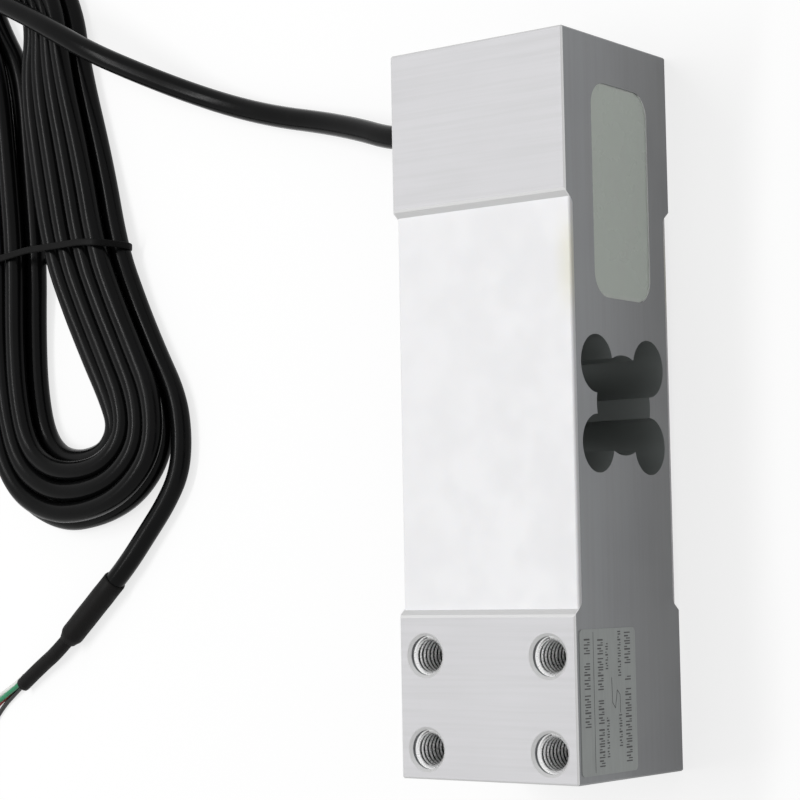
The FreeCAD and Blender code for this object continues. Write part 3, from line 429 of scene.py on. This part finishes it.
# ---------------------------------------------------------------- rating label
# A satin silver film is stuck on the pocket side at the load end. Its print is one rule, a small
# wiring sketch and rows of bars in place of words.
label, tree, shader = new_finish("label_film")
fine = mottle(tree, 1600.0, 2.0, 0.5, (0.1, 1.0, 1.0))
broad = mottle(tree, 90.0, 2.0)
film_colour = mixed(tree, broad, grey(0.33, (0.96, 1.02, 1.0)), grey(0.40, (0.97, 1.03, 1.0)))
film_colour = mixed(tree, eased(tree, fine, 0.35, 0.7, 0.0, 0.2), film_colour, grey(0.30))
tree.links.new(film_colour, shader.inputs["Base Color"])
tree.links.new(eased(tree, fine, 0.3, 0.7, 0.3, 0.42), shader.inputs["Roughness"])
shader.inputs["Metallic"].default_value = 0.3
wear("rating_label", label)

label_low, label_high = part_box("rating_label")
PRINT_DEPTH = 0.00002
PRINT_START = 0.0013
RULE_RISE = 0.0157
RULE_MARGIN = 0.0006
RULE_WIDTH = 0.00012
SKETCH_WIDTH = 0.00014
# Each row: its height above the label's lower edge, the height of its bars, and then, from the
# load end on, how many millimetres are filled with bars, or left bare where it is negative.
PRINT_ROWS = [
    (0.0170, 0.0021, [-7.9, 6.0, -1.4, 5.2, -1.7, 3.0]),
    (0.0122, 0.0020, [7.0, -1.4, 4.7, -1.9, 6.4, -0.6, 2.8]),
    (0.0104, 0.0009, [-1.7, 7.9, -9.4, 5.1]),
    (0.0056, 0.0011, [-3.6, 6.2, -7.7, 9.0]),
    (0.0020, 0.0022, [-0.4, 5.6, -0.5, 8.4, -1.7, 1.0, -2.3, 6.0]),
]
# The bars, one after another: the gap before each, its width, and its foot and head as shares
# of the row's height.
STROKES = [
    (0.00024, 0.00026, 0.0, 1.0), (0.00030, 0.00022, 0.0, 0.66), (0.00022, 0.00030, 0.3, 1.0),
    (0.00040, 0.00024, 0.0, 1.0), (0.00020, 0.00022, 0.0, 0.40), (0.00032, 0.00034, 0.0, 1.0),
    (0.00024, 0.00022, 0.5, 1.0), (0.00036, 0.00026, 0.0, 0.86),
]


def mark(bm, corners):
    """A printed patch on the label, with its corners given as (x, z)."""
    out = label_low.y - PRINT_DEPTH
    bm.faces.new([bm.verts.new((cx, out, cz)) for cx, cz in corners])


def bar(bm, low_x, high_x, low_z, high_z):
    mark(bm, [(low_x, low_z), (high_x, low_z), (high_x, high_z), (low_x, high_z)])


def line(bm, start, end, width):
    """A straight printed line between two points given as (x, z)."""
    along = (Vector(end) - Vector(start)).normalized() * width / 2
    side = Vector((-along.y, along.x))
    start, end = Vector(start) - along, Vector(end) + along
    mark(bm, [start + side, start - side, end - side, end + side])


bm = bmesh.new()
for rise, tall, lengths in PRINT_ROWS:
    at_x = label_low.x + PRINT_START
    foot = label_low.z + rise
    for length in lengths:
        end_x = at_x + abs(length) * 0.001
        number = 0
        while length > 0 and at_x < end_x:
            gap, width, low_share, high_share = STROKES[number % len(STROKES)]
            at_x += gap
            bar(bm, at_x, at_x + width, foot + tall * low_share, foot + tall * high_share)
            at_x += width
            number += 1
        at_x = end_x
rule_z = label_low.z + RULE_RISE
rule_ends = [(label_low.x + RULE_MARGIN, rule_z), (label_high.x - RULE_MARGIN, rule_z)]
line(bm, *rule_ends, RULE_WIDTH)
# The sketch's corners, from the label's lower corner at the load end.
SKETCH = [
    (0.0188, 0.0092),
    (0.0139, 0.0090),
    (0.0128, 0.0080),
    (0.0163, 0.0072),
    (0.0154, 0.0062),
    (0.0118, 0.0061),
]
sketch = [(label_low.x + sx, label_low.z + sz) for sx, sz in SKETCH]
for start, end in zip(sketch, sketch[1:]):
    line(bm, start, end, SKETCH_WIDTH)
bmesh.ops.recalc_face_normals(bm, faces=bm.faces)
for face in bm.faces:
    if face.normal.y > 0:
        face.normal_flip()
print_marks = piece_from(bm, "label_print", smooth=False)
ink, tree, shader = new_finish("black_ink")
dress(tree, shader, mottle(tree, 2600.0, 2.0), (grey(0.04), grey(0.12)), (0.45, 0.6))
print_marks.data.materials.append(ink)
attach(print_marks, "root")

# ---------------------------------------------------------------- cable entry
# A turned steel bush is pressed into the fixed end's far side and a rubber seal grips the cable
# in it. The jacket goes on inside the body, where its four cores are soldered to the board.
turned, tree, shader = new_finish("turned_steel")
rings = mottle(tree, 2200.0, 2.0, 0.5, (1.0, 0.1, 1.0))
dress(tree, shader, rings, (grey(0.42), grey(0.58)), (0.25, 0.42), metallic=0.9)
relief(tree, shader, rings, 0.2, 0.00005)
wear("cable_bush", turned)

rubber, tree, shader = new_finish("seal_rubber")
bloom = mottle(tree, 800.0, 3.0)
dress(tree, shader, bloom, (grey(0.010), grey(0.022)), (0.5, 0.7))
relief(tree, shader, bloom, 0.2, 0.0001)
wear("cable_seal", rubber)

# ---------------------------------------------------------------- cable
# About 2.7 m of round black PVC cable, 5.2 mm thick. It drops from the seal to the floor, climbs
# over the bundle and is wound in seven turns and one more pass, up to four strands wide and two
# deep. The last strand leaves at the loose bend as the tail that ends in the shrink sleeve.
CABLE = 0.0052
LOW = CABLE / 2
HIGH = LOW + CABLE
TIE_X = 0.050
TIE_LIFT = 0.0012
LEAD = [
    (0.0628, 0.0215, 0.0130),
    (0.0628, 0.0330, 0.0130),
    (0.0649, 0.0445, 0.0108),
    (0.0688, 0.0555, 0.0074),
    (0.0726, 0.0685, 0.0044),
    (0.0762, 0.0835, 0.0031),
    (0.0804, 0.0970, 0.0032),
    (0.0856, 0.1100, 0.0060),
    (0.0916, 0.1225, 0.0110),
    (0.0980, 0.1350, 0.0146),
    (0.1058, 0.1480, 0.0156),
    (0.1124, 0.1600, 0.0154),
    (0.1185, 0.1725, 0.0148),
    (0.1250, 0.1840, 0.0136),
    (0.1335, 0.1900, 0.0116),
    (0.1405, 0.1855, 0.0094),
]
# Places round the bundle, each with the middle of its outermost and its innermost strand. From
# one to the other is three strands in.
INNERMOST = 3
FAR_BEND = [
    ((0.1195, 0.1998), (0.1120, 0.1790)),
    ((0.1335, 0.1980), (0.1222, 0.1838)),
    ((0.1420, 0.1860), (0.1280, 0.1762)),
    ((0.1388, 0.1695), (0.1240, 0.1664)),
    ((0.1170, 0.1530), (0.1100, 0.1606)),
]
NEAR_LEG = [
    ((0.0980, 0.1496), (0.0953, 0.1626)),
    ((0.0720, 0.1418), (0.0710, 0.1584)),
    ((0.0500, 0.1359), (0.0500, 0.1528)),
    ((0.0360, 0.1308), (0.0350, 0.1472)),
    ((0.0230, 0.1242), (0.0220, 0.1404)),
]
LOOSE_BEND = [
    ((0.0115, 0.1184), (0.0110, 0.1348)),
    ((-0.0030, 0.1182), (0.0040, 0.1336)),
    ((-0.0138, 0.1284), (-0.0016, 0.1386)),
    ((-0.0188, 0.1425), (-0.0034, 0.1476)),
    ((-0.0190, 0.1580), (-0.0020, 0.1568)),
]
OTHER_LEG = [
    ((-0.0110, 0.1724), (0.0038, 0.1632)),
    ((0.0070, 0.1794), (0.0160, 0.1660)),
    ((0.0280, 0.1830), (0.0310, 0.1666)),
    ((0.0500, 0.1818), (0.0500, 0.1650)),
    ((0.0760, 0.1860), (0.0750, 0.1688)),
    ((0.1024, 0.1925), (0.0998, 0.1712)),
]
# Each pass along a leg: how many strands in from the outermost it lies, and its height.
NEAR_PASSES = [
    (0.5, HIGH), (1.4, HIGH), (2.35, HIGH), (3.2, HIGH),
    (3.0, LOW), (2.0, LOW), (1.0, LOW), (0.0, LOW),
]
OTHER_PASSES = [
    (0.5, HIGH), (1.5, HIGH), (2.5, HIGH),
    (3.0, LOW), (2.0, LOW), (1.0, LOW), (0.0, LOW),
]
TAIL = [
    (0.0115, 0.1176, 0.0026),
    (0.0015, 0.1160, 0.0026),
    (-0.0075, 0.1170, 0.0026),
    (-0.0148, 0.1216, 0.0026),
    (-0.0220, 0.1280, 0.0026),
    (-0.02965, 0.1345, 0.0030),
    (-0.0360, 0.1416, 0.0030),
    (-0.0406, 0.1468, 0.0030),
]


def strand_at(station, strands_in, height):
    outer, inner = station
    lift = TIE_LIFT if abs(outer[0] - TIE_X) < 0.001 else 0.0
    share = strands_in / INNERMOST
    return (
        outer[0] + (inner[0] - outer[0]) * share,
        outer[1] + (inner[1] - outer[1]) * share,
        height + lift,
    )


def round_bend(stations, coming, going):
    """Points round a bend, where a strand moves over to its next place in the bundle."""
    made = []
    for number, station in enumerate(stations):
        share = (number + 0.5) / len(stations)
        strands_in = coming[0] + (going[0] - coming[0]) * share
        made.append(strand_at(station, strands_in, coming[1] + (going[1] - coming[1]) * share))
    return made


def strand_of(points, thickness, name, closed_ends=True):
    """A round strand whose middle line is one smooth spline near the given points."""
    curve = bpy.data.curves.new(name, "CURVE")
    curve.dimensions = "3D"
    spline = curve.splines.new("NURBS")
    spline.points.add(len(points) - 1)
    for control, point in zip(spline.points, points):
        control.co = (*point, 1.0)
    spline.order_u = 3
    spline.use_endpoint_u = True
    curve.resolution_u = 10
    curve.bevel_depth = thickness / 2
    curve.bevel_resolution = 4
    curve.use_fill_caps = closed_ends
    strand = bpy.data.objects.new(name, curve)
    bpy.context.scene.collection.objects.link(strand)
    return strand


route = list(LEAD)
for turn, near in enumerate(NEAR_PASSES):
    if turn == 0:
        # The lead joins the bundle near the end of the far bend.
        route += round_bend(FAR_BEND, near, near)[3:]
    else:
        route += round_bend(FAR_BEND, OTHER_PASSES[turn - 1], near)
    route += [strand_at(station, *near) for station in NEAR_LEG]
    if turn < len(OTHER_PASSES):
        route += round_bend(LOOSE_BEND, near, OTHER_PASSES[turn])
        route += [strand_at(station, *OTHER_PASSES[turn]) for station in OTHER_LEG]
route += TAIL
cable = strand_of(route, CABLE, "cable")
jacket, tree, shader = new_finish("black_pvc")
handled = mottle(tree, 60.0, 4.0, 0.6)
drawn = mottle(tree, 1500.0, 3.0, 0.6)
tree.links.new(
    mixed(tree, handled, grey(0.0022, (0.92, 1.02, 1.0)), grey(0.0055, (1.0, 1.0, 1.06))),
    shader.inputs["Base Color"],
)
tree.links.new(eased(tree, handled, 0.3, 0.75, 0.18, 0.29), shader.inputs["Roughness"])
shader.inputs["Specular IOR Level"].default_value = 0.082
relief(tree, shader, drawn, 0.08, 0.0001)
relief(tree, shader, mottle(tree, 220.0, 2.0), 0.10, 0.0004)
cable.data.materials.append(jacket)
wear("cable_inner_end", jacket)
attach(cable, "root")
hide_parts("cable_lead", "cable_hank", "cable_tail")

# ---------------------------------------------------------------- cable tie
# One black nylon tie is pulled tight round both legs of the bundle. The strap is thin and flat
# with rounded edges, spans the gap between the legs, and its head sits on the far leg.
TIE_WIDTH = 0.0017
TIE_THICKNESS = 0.0009
STRAP_ROUNDING = 0.0011
HEAD_SIZE = (0.0044, 0.0048, 0.0042)
HEAD_MIDDLE = (TIE_X - 0.0016, 0.1868, 0.0072)
BUNDLE_MIDDLE = (TIE_X, 0.158, 0.006)
# The strap's inner face round the bundle, as (y, z) and how far it has slipped along the bundle:
# under it, up the near leg, over both legs and down the far one.
STRAP_CORNERS = [
    (0.1352, 0.0010, 0.0),
    (0.1330, 0.0030, 0.0),
    (0.1330, 0.0052, 0.0002),
    (0.1362, 0.0116, 0.0006),
    (0.1412, 0.0121, 0.0010),
    (0.1600, 0.0120, 0.0008),
    (0.1700, 0.0120, -0.0004),
    (0.1762, 0.0121, -0.0012),
    (0.1814, 0.0114, -0.0020),
    (0.1846, 0.0052, -0.0016),
    (0.1846, 0.0030, -0.0010),
    (0.1826, 0.0010, -0.0006),
]
bm = bmesh.new()
corners = [
    bm.verts.new((TIE_X - TIE_WIDTH / 2 + slip, v, w)) for v, w, slip in STRAP_CORNERS
]
edges = [bm.edges.new(pair) for pair in zip(corners, corners[1:] + corners[:1])]
bmesh.ops.bevel(
    bm,
    geom=corners,
    offset=STRAP_ROUNDING,
    affect="VERTICES",
    segments=5,
    profile=0.5,
    material=-1,
)
strap = bmesh.ops.extrude_edge_only(bm, edges=bm.edges[:])
far_edge = [item for item in strap["geom"] if isinstance(item, bmesh.types.BMVert)]
bmesh.ops.translate(bm, vec=(TIE_WIDTH, 0.0, 0.0), verts=far_edge)
bmesh.ops.recalc_face_normals(bm, faces=bm.faces)
outward = bm.faces[0].calc_center_median() - Vector(BUNDLE_MIDDLE)
if outward.dot(bm.faces[0].normal) < 0:
    bmesh.ops.reverse_faces(bm, faces=bm.faces)
bmesh.ops.solidify(bm, geom=bm.faces[:], thickness=-TIE_THICKNESS)
bmesh.ops.recalc_face_normals(bm, faces=bm.faces)
head = bmesh.ops.create_cube(bm, size=1.0)["verts"]
bmesh.ops.scale(bm, vec=HEAD_SIZE, verts=head)
bmesh.ops.translate(bm, vec=HEAD_MIDDLE, verts=head)
tie = piece_from(bm, "nylon_tie")
rounding = tie.modifiers.new("rounded_edges", "BEVEL")
rounding.width = 0.00030
rounding.segments = 3
rounding.limit_method = "ANGLE"
rounding.angle_limit = math.radians(50)
nylon, tree, shader = new_finish("black_nylon")
drag = mottle(tree, 900.0, 3.0)
dress(tree, shader, drag, (grey(0.004), grey(0.008)), (0.42, 0.54))
shader.inputs["Specular IOR Level"].default_value = 0.06
relief(tree, shader, drag, 0.15, 0.0001)
tie.data.materials.append(nylon)
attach(tie, "root")
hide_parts("cable_tie")

# ---------------------------------------------------------------- shrink sleeve and end tube
# The jacket stops inside a black shrink sleeve. A thinner tube goes on from it over the four
# cores. The sleeve has drawn down on both, with a soft step where the jacket ends.
SLEEVE_START = Vector((-0.0333, 0.1386, 0.0030))
SLEEVE_END = Vector((-0.0482, 0.1554, 0.0030))
# How far along the sleeve, and its radius there.
SLEEVE_OUTLINE = [
    (0.0000, 0.00262),
    (0.0001, 0.00286),
    (0.0005, 0.00298),
    (0.0030, 0.00296),
    (0.0062, 0.00301),
    (0.0100, 0.00298),
    (0.0140, 0.00301),
    (0.0180, 0.00297),
    (0.0200, 0.00299),
    (0.0207, 0.00288),
    (0.0214, 0.00256),
    (0.0220, 0.00236),
    (0.02235, 0.00228),
    (0.02245, 0.00190),
]


def stand_along(bm, verts, foot, direction):
    """Turns what was modelled up +Z from the origin along a direction, with its foot at a point."""
    aim = direction.to_track_quat("Z", "Y").to_matrix().to_4x4()
    bmesh.ops.transform(bm, matrix=Matrix.Translation(foot) @ aim, verts=verts)


bm = bmesh.new()
corners = [bm.verts.new((r, 0.0, along)) for along, r in SLEEVE_OUTLINE]
edges = [bm.edges.new(pair) for pair in zip(corners, corners[1:])]
bmesh.ops.spin(
    bm,
    geom=corners + edges,
    cent=(0.0, 0.0, 0.0),
    axis=(0.0, 0.0, 1.0),
    angle=2 * math.pi,
    steps=40,
    use_merge=True,
)
bmesh.ops.recalc_face_normals(bm, faces=bm.faces)
stand_along(bm, bm.verts[:], SLEEVE_START, SLEEVE_END - SLEEVE_START)
sleeve = piece_from(bm, "shrink_sleeve_skin")
shrunk, tree, shader = new_finish("shrink_tubing")
pull = mottle(tree, 420.0, 3.0, 0.6)
blacks = (grey(0.004, (1.06, 1.0, 0.97)), grey(0.008, (1.06, 1.0, 0.96)))
dress(tree, shader, pull, blacks, (0.46, 0.60))
shader.inputs["Specular IOR Level"].default_value = 0.09
relief(tree, shader, pull, 0.3, 0.0003)
sleeve.data.materials.append(shrunk)
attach(sleeve, "root")
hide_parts("shrink_sleeve")

END_TUBE = 0.0037
END_TUBE_WALL = 0.00028
END_TUBE_ROUTE = [
    (-0.0416, 0.1480, 0.0030),
    (-0.0508, 0.1584, 0.0030),
    (-0.0552, 0.1662, 0.0023),
    (-0.0598, 0.1730, 0.0019),
]
tube_line = strand_of(END_TUBE_ROUTE, END_TUBE, "end_tube_skin", closed_ends=False)
tube_line.data.materials.append(shrunk)
wall = tube_line.modifiers.new("tube_wall", "SOLIDIFY")
wall.thickness = END_TUBE_WALL
wall.offset = -1.0
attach(tube_line, "root")
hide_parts("end_tube")

# ---------------------------------------------------------------- cable cores
# Green, white, red and black cores with smooth PVC insulation come out of the end tube and fan
# out on the floor. The last 5 mm of each is stripped, twisted and tinned.
CORE = 0.0012
CORE_ROUTES = {
    "green": [
        (-0.0601, 0.1746, 0.0024), (-0.0614, 0.1770, 0.0022),
        (-0.0644, 0.1825, 0.0018), (-0.0662, 0.1880, 0.0008), (-0.0668, 0.1952, 0.00062),
    ],
    "white": [
        (-0.0595, 0.1750, 0.0022), (-0.0606, 0.1776, 0.0018),
        (-0.0631, 0.1832, 0.0008), (-0.0664, 0.1894, 0.0019), (-0.0712, 0.1958, 0.00062),
    ],
    "red": [
        (-0.0598, 0.1744, 0.0012), (-0.0610, 0.1770, 0.0009),
        (-0.0642, 0.1822, 0.00062), (-0.0686, 0.1886, 0.00062), (-0.0748, 0.1930, 0.00062),
    ],
    "black": [
        (-0.0604, 0.1741, 0.0014), (-0.0618, 0.1764, 0.0010),
        (-0.0655, 0.1816, 0.00062), (-0.0708, 0.1862, 0.00062), (-0.0776, 0.1884, 0.00062),
    ],
}
CORE_COLOURS = {
    "green": ((0.010, 0.200, 0.085, 1.0), (0.022, 0.290, 0.130, 1.0)),
    "white": ((0.74, 0.74, 0.71, 1.0), (0.84, 0.84, 0.82, 1.0)),
    "red": ((0.36, 0.012, 0.010, 1.0), (0.47, 0.025, 0.018, 1.0)),
    "black": ((0.010, 0.010, 0.010, 1.0), (0.022, 0.022, 0.022, 1.0)),
}
CORE_INSIDE = 0.0036
out_of_tube = (Vector(END_TUBE_ROUTE[-1]) - Vector(END_TUBE_ROUTE[-2])).normalized()
for colour, points in CORE_ROUTES.items():
    inside = Vector(points[0]) - out_of_tube * CORE_INSIDE
    core = strand_of([tuple(inside)] + points, CORE, "core_%s_skin" % colour)
    insulation, tree, shader = new_finish("core_" + colour)
    dress(tree, shader, mottle(tree, 500.0, 2.0), CORE_COLOURS[colour], (0.25, 0.4))
    core.data.materials.append(insulation)
    wear("inner_core_" + colour, insulation)
    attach(core, "root")
    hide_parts("core_" + colour)

# The tin starts inside the insulation. Its section has seven shallow lobes that turn along it.
TIN_INSIDE = 0.001
TIN_LENGTH = 0.005
TIN_RADIUS = 0.0004
TIN_GROOVE = 0.14
TIN_TWIST = math.pi * 1.6
TIN_STEPS = 24
bm = bmesh.new()
for points in CORE_ROUTES.values():
    done = set(bm.verts)
    ring = bmesh.ops.create_circle(bm, segments=28, radius=TIN_RADIUS, cap_ends=False)["verts"]
    for number, vert in enumerate(ring):
        vert.co *= 1 - TIN_GROOVE + TIN_GROOVE * abs(math.cos(number * math.pi / 4))
    rim = [edge for edge in bm.edges if edge.verts[0] in ring and edge.verts[1] in ring]
    bm.faces.new(ring)
    twist = bmesh.ops.spin(
        bm,
        geom=ring + rim,
        cent=(0.0, 0.0, 0.0),
        axis=(0.0, 0.0, 1.0),
        dvec=(0.0, 0.0, (TIN_INSIDE + TIN_LENGTH) / TIN_STEPS),
        angle=TIN_TWIST,
        steps=TIN_STEPS,
    )
    end_rim = [item for item in twist["geom_last"] if isinstance(item, bmesh.types.BMEdge)]
    bmesh.ops.contextual_create(bm, geom=end_rim)
    tip = Vector(points[-1])
    along = Vector((tip.x - points[-2][0], tip.y - points[-2][1], 0.0)).normalized()
    made = [vert for vert in bm.verts if vert not in done]
    stand_along(bm, made, tip - along * TIN_INSIDE, along)
bmesh.ops.recalc_face_normals(bm, faces=bm.faces)
tinned = piece_from(bm, "tinned_strands")
tin, tree, shader = new_finish("tinned_copper")
dull = mottle(tree, 3000.0, 2.0)
tins = (grey(0.45, (1.0, 0.97, 0.92)), grey(0.62, (1.0, 0.98, 0.95)))
dress(tree, shader, dull, tins, (0.22, 0.4), metallic=1.0)
tinned.data.materials.append(tin)
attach(tinned, "root")
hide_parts("tinned_ends")

# ---------------------------------------------------------------- floor, light and camera
# A plain pale floor under soft studio light. The camera looks down along the cell from beyond the
# label's side, with the cable running out to the left.


def seen_directly(tree):
    """Is 1 for what the camera sees, also in a reflection or through a clear piece."""
    rays = tree.nodes.new("ShaderNodeLightPath")
    seen = worked(tree, "MAXIMUM", rays.outputs["Is Camera Ray"], rays.outputs["Is Glossy Ray"])
    return worked(tree, "MAXIMUM", seen, rays.outputs["Is Transmission Ray"])


bm = bmesh.new()
bmesh.ops.create_grid(bm, x_segments=1, y_segments=1, size=6.0)
floor = piece_from(bm, "floor", smooth=False)
pale, tree, shader = new_finish("pale_floor")
shader.inputs["Base Color"].default_value = grey(0.27)
shader.inputs["Roughness"].default_value = 1.0
shader.inputs["Specular IOR Level"].default_value = 0.0
shader.inputs["Emission Color"].default_value = grey(1.0)
shader.inputs["Emission Strength"].default_value = 0.755
matt = tree.nodes.new("ShaderNodeBsdfDiffuse")
matt.inputs["Color"].default_value = grey(0.42)
either = tree.nodes.new("ShaderNodeMixShader")
tree.links.new(seen_directly(tree), either.inputs["Fac"])
tree.links.new(matt.outputs["BSDF"], either.inputs[1])
tree.links.new(shader.outputs["BSDF"], either.inputs[2])
tree.links.new(either.outputs["Shader"], tree.nodes["Material Output"].inputs["Surface"])
floor.data.materials.append(pale)

sky = bpy.data.worlds.new("studio")
bpy.context.scene.world = sky
sky.use_nodes = True
tree = sky.node_tree
backdrop = tree.nodes["Background"]
backdrop.inputs["Color"].default_value = grey(1.0)
strength = mixed_number(tree, seen_directly(tree), 0.36, 1.0)
tree.links.new(strength, backdrop.inputs["Strength"])


def lamp(name, at, towards, width, height, power):
    light = bpy.data.lights.new(name, "AREA")
    light.shape = "RECTANGLE"
    light.size = width
    light.size_y = height
    light.energy = power
    holder = bpy.data.objects.new(name, light)
    bpy.context.scene.collection.objects.link(holder)
    holder.location = at
    holder.rotation_mode = "QUATERNION"
    holder.rotation_quaternion = (Vector(towards) - Vector(at)).to_track_quat("-Z", "Y")


lamp("overhead_softbox", (0.10, 0.25, 1.10), (0.0, 0.05, 0.0), 1.1, 0.8, 2.7)
lamp("left_strip", (0.15, 0.45, 0.95), (0.05, 0.10, 0.0), 0.8, 0.10, 4.6)

eye = bpy.data.cameras.new("camera")
eye.lens = 103.86
eye.sensor_width = 36.0
camera = bpy.data.objects.new("camera", eye)
bpy.context.scene.collection.objects.link(camera)
rightward = Vector((-0.01744, -0.79534, -0.60591))
upward = Vector((0.99683, -0.06091, 0.05126))
backward = Vector((-0.07767, -0.60309, 0.79388))
turn = Matrix((rightward, upward, backward)).transposed()
camera.rotation_mode = "QUATERNION"
camera.rotation_quaternion = turn.to_quaternion().normalized()
camera.location = (-0.0345, -0.26796, 0.41952)
eye.clip_start = 0.01
eye.clip_end = 20.0
bpy.context.scene.camera = camera
bpy.context.scene.view_settings.view_transform = "Standard"
